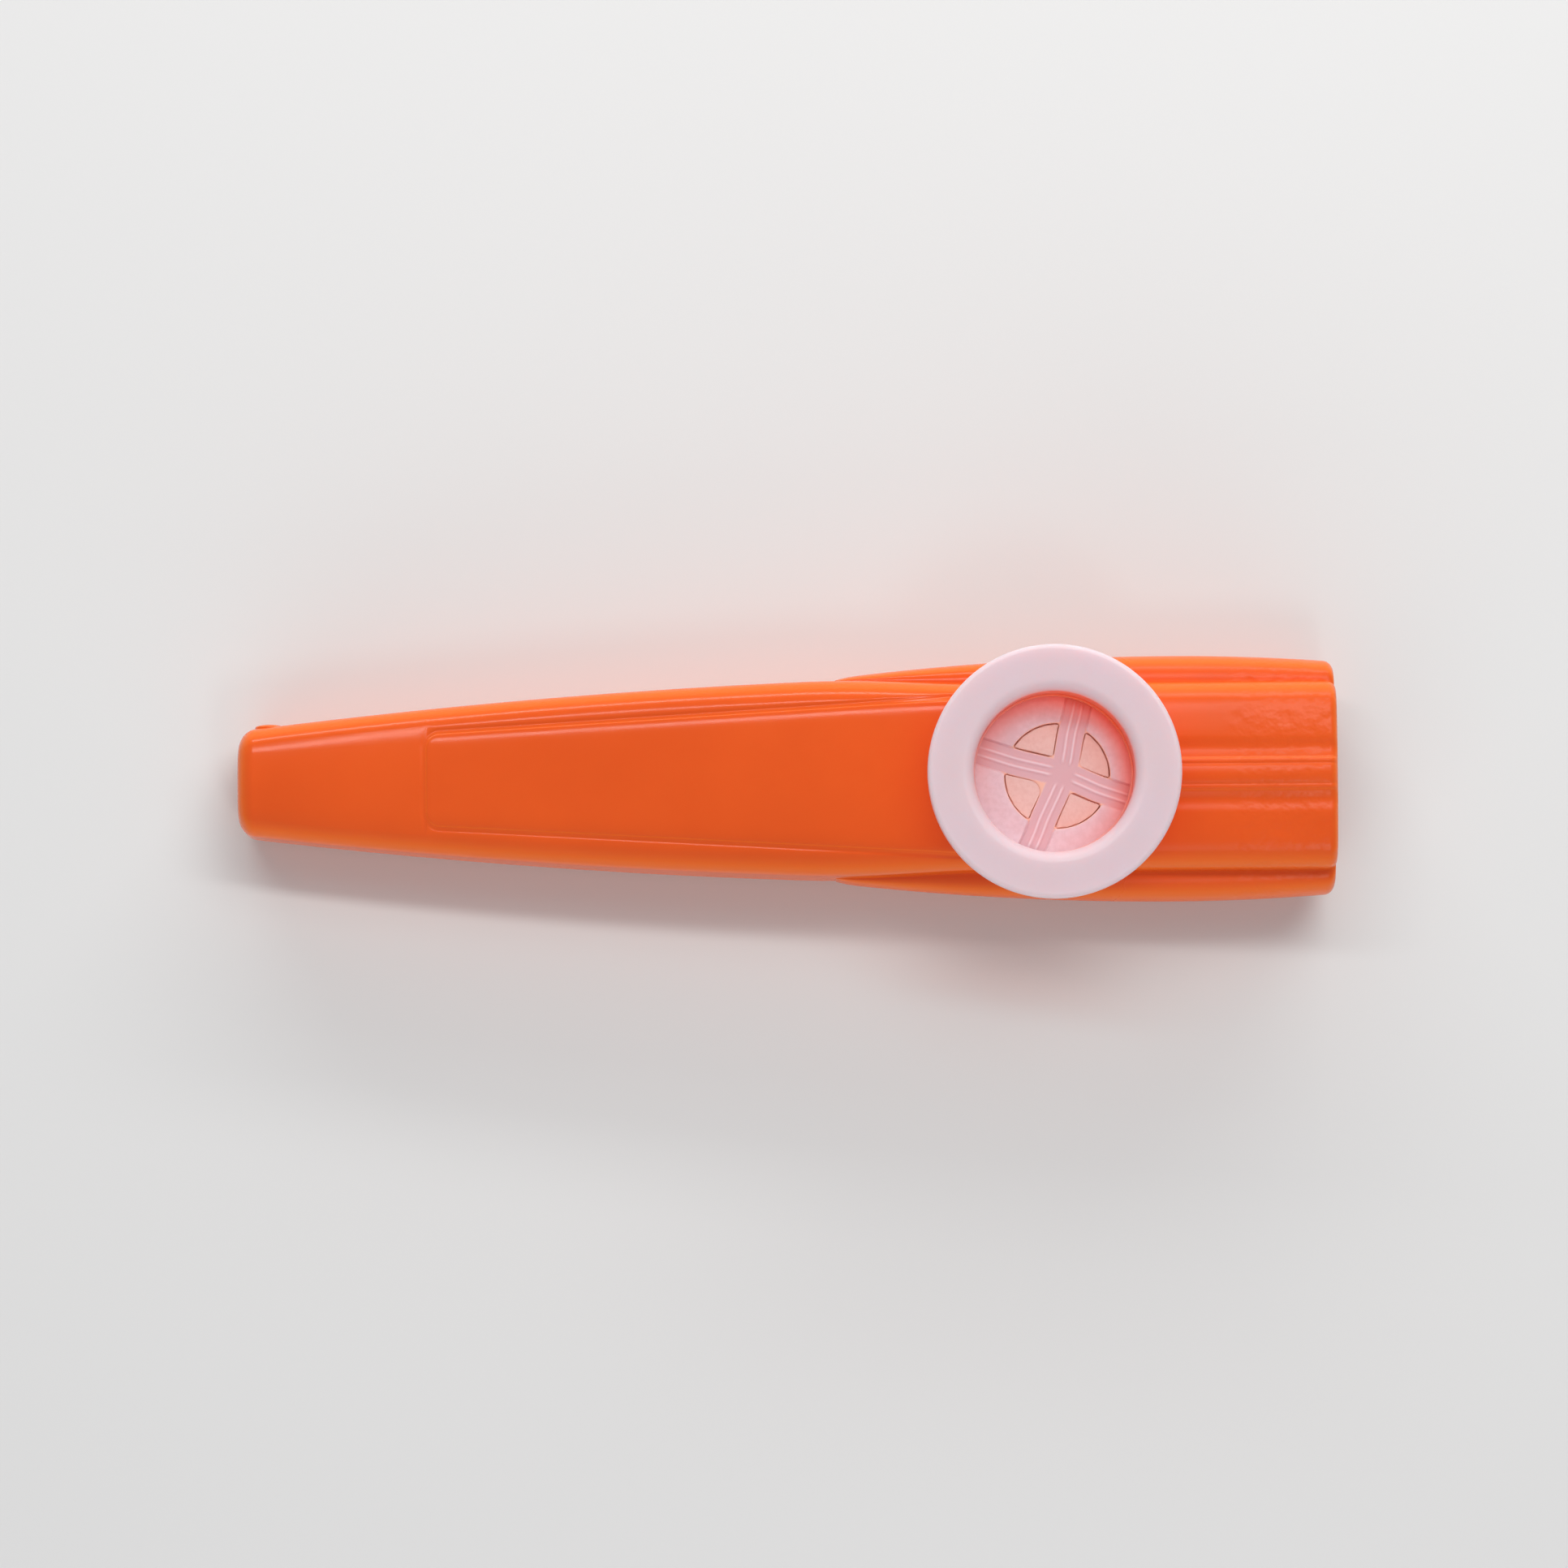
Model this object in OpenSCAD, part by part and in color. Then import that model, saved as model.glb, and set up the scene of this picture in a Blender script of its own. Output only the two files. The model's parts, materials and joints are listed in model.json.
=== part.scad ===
// A moulded plastic kazoo: a two-part body, a press-in turret cap and a drop-in resonator.
// It lies on its belly along X, with the mouth end at +X and the turret facing +Z.

/* [Body] */
// Length from the tip to the mouth end
body_l = 120; // [112:1:130]
// Height at the tip
tip_h = 12.4; // [11.6:0.1:13.5]
// Height at the mouth end
mouth_h = 17; // [16:0.1:18.5]
// Width at the tip, before its edge is rounded
tip_w = 11.7; // [11:0.1:13]
// Width of the waist, where the side lobes start
waist_w = 22.1; // [21.4:0.1:23]
// Width of the upper body between the two creases
spine_w = 21; // [20:0.1:21.6]
// Radius of the long shoulders at the tip
tip_shoulder_r = 2.2; // [1.8:0.1:2.4]
// Radius of the long shoulders at the waist
waist_shoulder_r = 2.7; // [2.4:0.1:3.2]
// Radius of the long shoulders at the mouth end
mouth_shoulder_r = 2.5; // [2:0.1:3.2]
// How far the top is crowned from the tip to the turret
crown_h = 0.45; // [0.2:0.05:0.6]
// How far the top is crowned at the mouth end
mouth_crown_h = 0.8; // [0.5:0.05:1]
// Thickness of the moulded wall
wall = 1.5; // [1.3:0.05:1.7]
// Bore of the outlet in the tip
outlet_d = 6.6; // [5.6:0.1:6.8]
// Length of the outlet's bore
outlet_l = 7; // [5:0.5:8]
// How far the rounding of the tip's edge reaches along the body
tip_round = 1.9; // [1.2:0.1:2.2]
// How far the rounding of the tip's edge reaches across it
tip_round_in = 2.1; // [1.6:0.1:2.2]
// Radius of the mouth end's edge
lip_r = 1; // [0.7:0.05:1.1]
// Distance of the gate mark from the tip
gate_back = 3.9; // [3.5:0.1:5]
// Radius of the gate mark
gate_r = 1.1; // [0.8:0.1:1.3]
// How far the gate mark stands out
gate_h = 0.15; // [0.1:0.05:0.3]

/* [Side lobes] */
// Widest point over the two lobes
lobe_w = 27; // [26:0.1:28.5]
// Width over the lobes where they start
lobe_start_w = 22.6; // [22.3:0.1:23.4]
// Length of the lobes, back from the mouth end
lobe_l = 54.6; // [52:0.2:58]
// Distance of the widest point from the mouth end
lobe_peak = 18; // [14:0.5:22]
// How much narrower each lobe is at the mouth end than at its widest
lobe_taper = 0.72; // [0.4:0.02:0.9]
// Length of the rounded start of each lobe
lobe_front = 2.5; // [2:0.1:3.5]

/* [Label panel] */
// Distance from the tip to the sunk panel
panel_start = 20.8; // [18:0.2:24]
// Width of the panel where it starts
panel_start_w = 10; // [9:0.1:10.6]
// Width of the panel at the turret
panel_end_w = 16.6; // [15:0.1:17]
// Depth of the panel's level floor at its edges
panel_depth = 0.25; // [0.2:0.05:0.35]
// Width of the panel's sloping edge
panel_edge = 0.35; // [0.25:0.05:0.5]
// Radius of the panel's corners
panel_r = 1.4; // [1:0.1:1.8]

/* [Mouth rib] */
// Width of the crowned bead along the rib
bead_w = 2.2; // [1.8:0.1:2.4]
// Height of the bead's middle above its pad
bead_h = 0.18; // [0.1:0.01:0.25]
// Width of the pad that carries the bead
pad_w = 3.2; // [2.9:0.1:3.6]
// Height of the pad
pad_h = 0.22; // [0.1:0.01:0.3]
// Width of the groove along each edge of the bead
groove_w = 0.4; // [0.3:0.05:0.45]
// Depth of the grooves
groove_depth = 0.16; // [0.1:0.01:0.25]
// Width of the flute on each side of the pad
flute_w = 2.8; // [2.4:0.1:3.2]
// Depth of the flutes
flute_depth = 0.3; // [0.15:0.01:0.4]

/* [Turret] */
// Distance of the turret's axis from the mouth end
turret_back = 31; // [28:0.2:33]
// Bore of the turret's socket
socket_d = 20.6; // [20:0.1:21]
// Wall of the turret's drum
drum_wall = 1.2; // [1:0.1:1.4]
// Height of the drum above the body
drum_h = 4.2; // [3.8:0.1:5.5]
// Depth of the resonator's seat below the top of the body
seat_depth = 1.8; // [1.4:0.1:2.4]
// Thickness of the seat
seat_t = 1.2; // [1:0.1:1.4]
// Width of the seat's ledge
seat_w = 1.6; // [1.4:0.1:1.8]

/* [Cap] */
// How far the cap's flange reaches past the side lobes
flange_past = 0.2; // [0:0.05:0.5]
// Thickness of the flange
cap_t = 3; // [2.4:0.1:3.6]
// Wall of the cap's tube
cap_wall = 1.5; // [1.3:0.1:1.8]
// Step of the foot inside the tube
foot_step = 0.25; // [0.2:0.05:0.4]
// Height of the foot
foot_h = 0.9; // [0.6:0.1:1.2]
// Radius of the inner edge of the flange
mouth_r = 1.3; // [0.8:0.1:1.6]
// Radius of the flange's outer edges
rim_r = 0.5; // [0.3:0.05:0.7]

/* [Resonator] */
// Thickness of the frame
frame_t = 1.3; // [1.1:0.05:1.6]
// Diameter of the circle that bounds the four windows
window_d = 11.5; // [11:0.1:12.6]
// Width of the cross bars
bar_w = 2.9; // [2.6:0.05:3.4]
// How far the cross bars lie below the pads between them
bar_drop = 0.35; // [0.25:0.05:0.45]
// Width of each of the two ridges along a bar
ridge_w = 0.4; // [0.3:0.05:0.5]
// Height of the ridges above the bar
ridge_h = 0.28; // [0.15:0.01:0.32]
// Spacing of the two ridges
ridge_gap = 0.95; // [0.85:0.05:1.2]
// Radius of the windows' inner corners
window_r = 0.6; // [0.4:0.05:0.8]
// Radius of the inner corner of the one window that differs
window_big_r = 1.6; // [1.2:0.05:1.8]
// Radius of the plain middle of the cross
hub_r = 1.3; // [1:0.1:1.5]
// Turn of the cross about the turret's axis, in degrees
cross_turn = -18.2; // [-40:0.2:40]
// Thickness of the membrane
membrane_t = 0.12; // [0.1:0.01:0.2]
// Thickness of the ring under the membrane
ring_t = 1; // [0.8:0.1:1.2]
// Width of the ring under the membrane
ring_w = 1.5; // [1.2:0.1:1.6]

/* [Fits] */
// Radial gap between the cap's tube and the socket
cap_gap = 0.08; // [0.06:0.01:0.1]
// Radial gap between the resonator and the socket
resonator_gap = 0.3; // [0.3:0.05:0.4]
// Gap between the flange and the drum
flange_gap = 0.3; // [0.3:0.05:0.5]
// Gap left under the resonator and under the cap's tube
rest_gap = 0.05; // [0.03:0.01:0.1]
// How far the membrane's edge stays inside the ring's
membrane_inset = 0.15; // [0.1:0.05:0.2]

/* [Hidden] */
body_colour = [0.93, 0.35, 0.1];
cap_colour = [0.93, 0.88, 0.9];
frame_colour = [0.93, 0.74, 0.76];
membrane_colour = [0.86, 0.66, 0.56];
// Overrun of a cut past the faces that it opens
cut = 1;
// The moulded channel is this much smaller than the outlet's bore, which is cut through it
skin = 0.3;
// The channel starts to open this far before the end of the outlet's bore
throat_lap = 0.4;
// Height of the gate mark's middle over the seam, in its own radii
gate_rise_share = 1.3;
// Shares that shape the body: how far its sides bow out, how much they lean in towards the top, and the
// share of the lobes' length over which the waist narrows to the spine, mostly behind the lobes' start
bow_share = 0.58;
lean_share = 0.05;
waist_share = 0.37;
waist_back_share = 0.2;
// Length over which the outlet opens into the channel, as a share of the outlet's length, and how round
// the moulded throat is before the bore is cut
throat_share = 0.9;
throat_round_share = 0.85;
// Height of the crease over the seam, as shares of the half height, where a lobe starts and at the mouth
crease_start_share = 0.3;
crease_share = 0.47;
// Height of the channel's own crease, as a share of the outer one's
inner_crease_share = 0.7;
// Lines along the panel, as shares of the width of its floor
panel_line_shares = [0.15, 0.3, 0.45, 0.55, 0.65, 0.74, 0.82, 0.9, 0.96];
// Lines along the flutes, as shares of a flute's width, and between the flutes and the shoulder
flute_line_shares = [0.25, 0.5, 0.75, 1];
crown_line_shares = [0.66, 0.76];
lobe_steps = 6;
shoulder_steps = 6;
inner_sides = 3;
inner_turns = 4;
end_steps = 5;
curve_fn = 96;

mouth_x = body_l / 2;
tip_x = -body_l / 2;
lobe_x = mouth_x - lobe_l;
peak_x = mouth_x - lobe_peak;
panel_x = tip_x + panel_start;
throat_x = tip_x + outlet_l - throat_lap;
channel_x = throat_x + throat_share * outlet_l;
gate_x = tip_x + gate_back;
turret_x = mouth_x - turret_back;
outlet_r = outlet_d / 2;
drum_r = socket_d / 2 + drum_wall;
flange_r = lobe_w / 2 + flange_past;
tube_r = socket_d / 2 - cap_gap;
cap_r = tube_r - cap_wall;
resonator_r = socket_d / 2 - resonator_gap;
bead_half = bead_w / 2;
pad_half = pad_w / 2;
groove_half = groove_w / 2;

deck_z = height_at(turret_x);
drum_z = deck_z + drum_h;
seat_z = deck_z - seat_depth;
ring_z = seat_z + rest_gap;
membrane_z = ring_z + ring_t;
frame_z = membrane_z + membrane_t;
frame_top_z = frame_z + frame_t;
bar_z = frame_top_z - bar_drop;
tube_z = frame_top_z + rest_gap;
flange_z = drum_z + flange_gap;
cap_z = flange_z + cap_t;

// Where the sections of the body stand: close together where it turns quickly
stations = concat(
    rounded(tip_x, tip_x + tip_round, end_steps),
    spread(tip_x + tip_round, throat_x, 2),
    spread(throat_x, channel_x, 4),
    spread(channel_x, panel_x, 2),
    spread(panel_x, panel_x + panel_edge, 1),
    spread(panel_x + panel_edge, panel_x + panel_r, 3),
    spread(panel_x + panel_r, lobe_x, 8),
    [for (x = rounded(lobe_x, lobe_x + lobe_front, end_steps)) if (x > lobe_x) x],
    spread(lobe_x + lobe_front, turret_x - flange_r, 2),
    spread(turret_x - flange_r, turret_x + flange_r, 6),
    spread(turret_x + flange_r, mouth_x - lip_r, 4),
    [for (i = [1:end_steps]) mix(mouth_x - lip_r, mouth_x, sin(90 * i / end_steps))]);

function mix(a, b, share) = a + (b - a) * share;
function clamp(v) = min(max(v, 0), 1);
function ease(v) = let (u = clamp(v)) u * u * (3 - 2 * u);
// Places after a, up to and with b
function spread(a, b, count) = [for (i = [1:count]) mix(a, b, i / count)];
// Places from a to b, spaced as a quarter circle needs them
function rounded(a, b, count) = [for (i = [0:count]) mix(a, b, 1 - cos(90 * i / count))];

// Height of the body, which grows evenly from the tip to the mouth
function height_at(x) = mix(tip_h, mouth_h, (x - tip_x) / body_l);
// Height of the seam between the two halves
function seam_z(x) = height_at(x) / 2;
function shoulder_at(x) = x < lobe_x
    ? mix(tip_shoulder_r, waist_shoulder_r, (x - tip_x) / (lobe_x - tip_x))
    : mix(waist_shoulder_r, mouth_shoulder_r, (x - lobe_x) / lobe_l);
// How far the top and the panel have given way to the crown and the rib of the mouth end, under the turret
function change_at(x) = ease((x - turret_x + drum_r) / (2 * drum_r));
function crown_at(x) = mix(crown_h, mouth_crown_h, change_at(x));

// Half width of the main body without its lobes
function rise_at(x) = let (u = (x - tip_x) / (lobe_x - tip_x))
    mix(tip_w, waist_w, (1 + bow_share) * u - bow_share * u * u) / 2;
function main_half(x) = mix(rise_at(x), spine_w / 2,
    ease((x - lobe_x) / (waist_share * lobe_l) + waist_back_share));

// Half width over the lobes, and how far they stand out of the main body
function lobe_half(x) = x < peak_x
    ? mix(lobe_start_w, lobe_w, 1 - pow(1 - clamp((x - lobe_x) / (peak_x - lobe_x)), 2)) / 2
    : lobe_w / 2 - lobe_taper * pow((x - peak_x) / lobe_peak, 2);
function front_at(x) = sqrt(1 - pow(1 - clamp((x - lobe_x) / lobe_front), 2));
function bulge_at(x) = max(lobe_half(x) - main_half(x), 0) * front_at(x);
function crease_at(x) = mix(crease_start_share, crease_share, ease((x - lobe_x) / (peak_x - lobe_x)));

// How far the rounded edges of the two ends draw the outside in
function end_inset(x) = let (t = clamp((x - tip_x) / tip_round), m = clamp((mouth_x - x) / lip_r))
    tip_round_in * (1 - sqrt(1 - pow(1 - t, 2))) + lip_r * (1 - sqrt(1 - pow(1 - m, 2)));

// Half width and depth of the panel: its corners are round, and it ends under the turret
function panel_half(x) = let (
        w = mix(panel_start_w, panel_end_w, (x - panel_x) / (turret_x - panel_x)) / 2,
        u = panel_r * (1 - clamp((x - panel_x) / panel_r)))
    w - panel_r + sqrt(panel_r * panel_r - u * u);
function panel_share(x) = clamp((x - panel_x) / panel_edge) * (1 - ease((x - turret_x + drum_r) / drum_r));
// Its floor is level, so it lies deepest in the middle of the crowned top
function panel_sink(x, y) = panel_share(x)
    * (panel_depth + crown_at(x) * (pow(panel_half(x), 2) - y * y) / pow(main_half(x), 2));

// Height of the mouth rib and its flutes above the top of the body: a crowned bead on a pad, a groove along
// each edge of the bead, and a flute that falls away beside the pad
function bead(y) = 1 - pow(min(y / bead_half, 1), 2);
function groove(y) = max(1 - abs(y - bead_half) / groove_half, 0);
function flute(y) = let (u = (y - pad_half) / flute_w) u > 0 && u < 1 ? (1 - cos(360 * u)) / 2 : 0;
function pad(y) = 1 - ease((y - pad_half) / (flute_line_shares[0] * flute_w));
function rib_relief(x, y) = ease((x - turret_x) / drum_r) * (1 - end_inset(x) / lip_r)
    * (bead_h * bead(y) + pad_h * pad(y) - groove_depth * groove(y) - flute_depth * flute(y));

// The lines along the top, from the middle out: the panel's become the rib's under the turret
function panel_lines(x) = let (w = panel_half(x)) concat(
    [for (s = panel_line_shares) s * (w - panel_edge)], [w - panel_edge, w]);
function rib_lines() = concat(
    [bead_half / 2, bead_half - groove_half, bead_half, bead_half + groove_half, pad_half],
    [for (s = flute_line_shares) pad_half + s * flute_w],
    [for (s = crown_line_shares) s * spine_w / 2]);
function top_lines(x) = let (a = panel_lines(x), b = rib_lines())
    [for (i = [0:len(a) - 1]) mix(a[i], b[i], change_at(x))];

// Half of a section, from the seam up and in to the middle, as points [y, height over the seam].
// The side leans in over the lobe's crease, the shoulder is a quarter circle and the top is crowned.
function half_section(w, h, r, crown, bulge, crease, lines, sides, turns) = let (
        bend = 1 - (r + crown) / h,
        bent_w = w * (1 - lean_share * bend),
        flat = bent_w - r,
        low = min(crease, bend),
        end = acos(clamp((lines[len(lines) - 1] - flat) / r)))
    concat(
        [for (i = [0:sides - 1]) let (a = 90 * i / sides, v = low * sin(a))
            [w * (1 - lean_share * v) + bulge * cos(a), h * v]],
        [for (i = [0:turns - 1]) let (a = end * i / turns, y = flat + r * cos(a))
            [y, h - crown * pow(y / bent_w, 2) - r * (1 - sin(a))]],
        [for (i = [len(lines) - 1:-1:0]) let (past = clamp((lines[i] - flat) / r))
            [lines[i], h - crown * pow(lines[i] / bent_w, 2) - r * (1 - sqrt(1 - past * past))]],
        [[0, h]]);
// Both halves of a section, from one side of the seam over the middle to the other
function both_halves(half) = concat(half, [for (i = [len(half) - 2:-1:0]) [-half[i][0], half[i][1]]]);

// The outside of the top with its panel and rib, and of the plain belly
function outer_top(x) = let (
        w = main_half(x),
        h = seam_z(x),
        lines = top_lines(x),
        last = len(lines) - 1,
        plain = half_section(w, h, shoulder_at(x), crown_at(x), bulge_at(x), crease_at(x), lines,
            lobe_steps, shoulder_steps))
    shrunk(x, [for (i = [0:len(plain) - 1]) let (p = plain[i], k = len(plain) - 1 - i)
        [p[0], p[1] + (k > last ? 0 : rib_relief(x, p[0]) - panel_sink(x, p[0]))]]);
function outer_belly(x) = let (w = main_half(x), h = seam_z(x), r = shoulder_at(x))
    shrunk(x, half_section(w, h, r, 0, bulge_at(x), crease_at(x), [w * (1 - lean_share * (1 - r / h)) - r],
        lobe_steps, shoulder_steps));
// A half section drawn in where the ends of the body are rounded
function shrunk(x, half) = let (w = half[0][0], h = seam_z(x), inset = end_inset(x))
    [for (p = half) [p[0] * (w - inset) / w, p[1] * (h - inset) / h]];

// The channel inside, which closes to a round throat at the outlet
function inner_half(x) = let (
        open = ease((x - throat_x) / (channel_x - throat_x)),
        bore = outlet_r - skin,
        w = mix(bore, main_half(x) - wall, open),
        h = mix(bore, seam_z(x) - wall, open),
        r = mix(throat_round_share * bore, shoulder_at(x) - wall / 2, open))
    half_section(w, h, r, 0, bulge_at(x), inner_crease_share * crease_at(x),
        [w * (1 - lean_share * (1 - r / h)) - r], inner_sides, inner_turns);

// A half shell: its sections run over the outside and back along the channel, and side is 1 for the
// upper half and -1 for the lower half
module half_shell(side) {
    outer = [for (x = stations) both_halves(side > 0 ? outer_top(x) : outer_belly(x))];
    inner = [for (x = stations) both_halves(inner_half(x))];
    outs = len(outer[0]);
    ins = len(inner[0]);
    ring = outs + ins;
    last = len(stations) - 1;
    points = [for (k = [0:last]) let (x = stations[k]) each concat(
        [for (p = outer[k]) [x, p[0], seam_z(x) + side * p[1]]],
        [for (j = [ins - 1:-1:0]) [x, inner[k][j][0], seam_z(x) + side * inner[k][j][1]]])];
    skins = [for (k = [0:last - 1], i = [0:ring - 1]) let (
            a = k * ring + i,
            b = k * ring + (i + 1) % ring,
            c = a + ring,
            d = b + ring)
        each [[a, b, c], [b, d, c]]];
    caps = concat(end_cap(outer[0], inner[0], 0, false),
        end_cap(outer[last], inner[last], last * ring, true));
    faces = concat(skins, caps);
    polyhedron(points, side < 0 ? faces : [for (f = faces) [f[2], f[1], f[0]]]);
}

// The end face between the outside and the channel, as triangles that match their points by angle
function turn_of(p) = atan2(p[1], p[0]);
function end_cap(outer, inner, base, flip) = let (
        ins = len(inner),
        ring = len(outer) + ins,
        match = [for (p = outer) min(len([for (q = inner) if (turn_of(q) < turn_of(p)) q]), ins - 1)],
        tris = [for (i = [0:len(outer) - 2]) each concat(
            [[i, i + 1, ring - 1 - match[i]]],
            [for (j = [match[i]:1:match[i + 1] - 1]) [i + 1, ring - 2 - j, ring - 1 - j]])])
    [for (t = tris) let (s = [t[0] + base, t[1] + base, t[2] + base]) flip ? s : [s[2], s[1], s[0]]];

module outlet_bore()
    translate([tip_x - cut, 0, seam_z(tip_x)])
        rotate([0, 90, 0])
            cylinder(r = outlet_r, h = outlet_l + cut, $fn = curve_fn);

// The mark where the moulding's gate was trimmed, low on the side next to the tip
module gate_mark()
    translate([gate_x, 0, seam_z(gate_x) + gate_rise_share * gate_r])
        rotate([-90, 0, 0])
            cylinder(r = gate_r, h = main_half(gate_x) + gate_h, $fn = curve_fn);

// On the turret's axis, at height z and turned with the cross
module at_turret(z)
    translate([turret_x, 0, z])
        rotate([0, 0, cross_turn])
            children();

module body_upper() color(body_colour)
    difference() {
        union() {
            half_shell(1);
            gate_mark();
            at_turret(seat_z - seat_t)
                cylinder(r = drum_r, h = drum_z - seat_z + seat_t, $fn = curve_fn);
        }
        at_turret(seat_z)
            cylinder(d = socket_d, h = drum_z - seat_z + cut, $fn = curve_fn);
        at_turret(seat_z - seat_t - cut)
            cylinder(r = socket_d / 2 - seat_w, h = seat_t + 2 * cut, $fn = curve_fn);
        outlet_bore();
    }

module body_lower() color(body_colour)
    difference() {
        half_shell(-1);
        outlet_bore();
    }

// A ring between two radii and two heights, with its outer edges rounded
module round_ring(inner_r, outer_r, low, high, edge_r)
    rotate_extrude($fn = curve_fn) {
        translate([inner_r, low])
            square([outer_r - edge_r - inner_r, high - low]);
        translate([inner_r, low + edge_r])
            square([outer_r - inner_r, high - low - 2 * edge_r]);
        for (z = [low + edge_r, high - edge_r])
            translate([outer_r - edge_r, z])
                circle(r = edge_r, $fn = curve_fn);
    }

module turret_cap() color(cap_colour)
    translate([turret_x, 0, 0])
        difference() {
            union() {
                round_ring(cap_r, flange_r, flange_z, cap_z, rim_r);
                translate([0, 0, tube_z])
                    cylinder(r = tube_r, h = flange_z - tube_z + rim_r, $fn = curve_fn);
            }
            translate([0, 0, tube_z + foot_h])
                cylinder(r = cap_r, h = cap_z - tube_z, $fn = curve_fn);
            translate([0, 0, tube_z - cut])
                cylinder(r = cap_r - foot_step, h = foot_h + 2 * cut, $fn = curve_fn);
            // The rounded inner edge: a square ring less a round one
            rotate_extrude($fn = curve_fn)
                difference() {
                    translate([0, cap_z - mouth_r])
                        square([cap_r + mouth_r, mouth_r + cut]);
                    translate([cap_r + mouth_r, cap_z - mouth_r])
                        circle(r = mouth_r, $fn = curve_fn);
                }
        }

// One window between two bars, with a round corner of radius r at the middle of the cross
module window(r)
    intersection() {
        cylinder(d = window_d, h = frame_t + 2 * cut, $fn = curve_fn);
        union() {
            translate([bar_w / 2 + r, bar_w / 2, 0])
                cube([window_d, window_d, frame_t + 2 * cut]);
            translate([bar_w / 2, bar_w / 2 + r, 0])
                cube([window_d, window_d, frame_t + 2 * cut]);
            translate([bar_w / 2 + r, bar_w / 2 + r, 0])
                cylinder(r = r, h = frame_t + 2 * cut, $fn = curve_fn);
        }
    }

module resonator_frame() color(frame_colour)
    at_turret(0) {
        difference() {
            translate([0, 0, frame_z])
                cylinder(r = resonator_r, h = frame_t, $fn = curve_fn);
            for (i = [0:3])
                translate([0, 0, frame_z - cut])
                    rotate([0, 0, 90 * i])
                        window(i == 2 ? window_big_r : window_r);
            for (a = [0, 90])
                rotate([0, 0, a])
                    translate([-socket_d / 2, -bar_w / 2, bar_z])
                        cube([socket_d, bar_w, bar_drop + cut]);
        }
        // The two ridges along each bar, which stop short of the middle
        for (i = [0:3], s = [-1, 1])
            rotate([0, 0, 90 * i])
                translate([hub_r, s * ridge_gap / 2 - ridge_w / 2, bar_z - ridge_h])
                    cube([cap_r - foot_step - ridge_w - hub_r, ridge_w, 2 * ridge_h]);
    }

module membrane() color(membrane_colour)
    translate([turret_x, 0, membrane_z])
        cylinder(r = resonator_r - membrane_inset, h = membrane_t, $fn = curve_fn);

module membrane_ring() color(frame_colour)
    translate([turret_x, 0, ring_z])
        difference() {
            cylinder(r = resonator_r, h = ring_t, $fn = curve_fn);
            translate([0, 0, -cut])
                cylinder(r = resonator_r - ring_w, h = ring_t + 2 * cut, $fn = curve_fn);
        }

body_upper();
body_lower();
turret_cap();
resonator_frame();
membrane();
membrane_ring();
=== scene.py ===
import json
import math

import bmesh
import bpy
import numpy as np
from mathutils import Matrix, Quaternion, Vector

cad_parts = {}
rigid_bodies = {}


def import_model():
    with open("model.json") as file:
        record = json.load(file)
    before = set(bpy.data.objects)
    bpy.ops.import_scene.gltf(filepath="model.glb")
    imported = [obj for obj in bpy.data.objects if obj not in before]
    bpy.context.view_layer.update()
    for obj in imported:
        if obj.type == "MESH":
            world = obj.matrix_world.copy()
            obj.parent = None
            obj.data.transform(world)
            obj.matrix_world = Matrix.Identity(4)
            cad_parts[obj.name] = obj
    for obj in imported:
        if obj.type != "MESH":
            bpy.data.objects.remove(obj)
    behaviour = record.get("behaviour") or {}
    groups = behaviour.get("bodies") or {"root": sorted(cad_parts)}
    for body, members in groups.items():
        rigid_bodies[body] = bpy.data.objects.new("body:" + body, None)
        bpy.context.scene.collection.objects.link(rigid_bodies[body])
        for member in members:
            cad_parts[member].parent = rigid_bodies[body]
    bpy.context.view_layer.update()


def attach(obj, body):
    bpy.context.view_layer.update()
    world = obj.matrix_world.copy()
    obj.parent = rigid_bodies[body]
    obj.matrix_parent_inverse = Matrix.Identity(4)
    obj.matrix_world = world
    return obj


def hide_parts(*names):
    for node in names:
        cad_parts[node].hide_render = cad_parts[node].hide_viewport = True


# A moulded plastic kazoo, lying on its belly along X, with the mouth end at +X and the turret up
# Sizes in the dictionaries are in millimetres and angles in degrees; meshes are made in metres

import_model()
mm = 0.001

# How near points are made one on a new piece and on a cut one, how short an edge is left out, and the
# angle between faces from which shading is split
tolerance = {"near": 0.0005, "short": 0.0001, "cutNear": 0.001, "sharp": 35}


# Small helpers for whole arrays

def mix(a, b, share):  # a at share 0, b at share 1, and evenly between
    return a + (b - a) * share


def clamp(v):  # no less than 0 and no more than 1
    return np.clip(v, 0, 1)


def ease(v):  # 0 before 0, 1 after 1, and 3v^2 - 2v^3 between
    u = clamp(v)
    return u * u * (3 - 2 * u)


def parts(value, count):  # one part in count of the value, two parts and so on, up to all of it
    return value * np.arange(1, count + 1) / count


def spread(a, b, count):  # even places after a, up to and with b
    return mix(a, b, parts(1, count))


def begin(a, b, count):  # even places from a on, up to but without b
    return mix(a, b, np.arange(count) / count)


def opening(a, b, count):  # places after a up to b, close together near a, as a quarter circle needs them
    return mix(a, b, 1 - np.cos(parts(np.pi / 2, count)))


def closing(a, b, count):  # the same, but close together near b
    return mix(a, b, np.sin(parts(np.pi / 2, count)))


def walk(start, stops):
    # Places after the start up to each stop in turn; a stop says how they are spaced, where it lies and how
    # many they are
    places = []
    for space, end, count in stops:
        places.append(space(start, end, count))
        start = end
    return np.concatenate(places, -1)


def arc(centre, radius, start, end, count):
    # Points on a circle: the centre plus the radius times the cosine and sine of each angle
    angle = np.radians(np.linspace(start, end, count))
    return np.stack([centre[0] + radius * np.cos(angle), centre[1] + radius * np.sin(angle)], -1)


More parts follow.
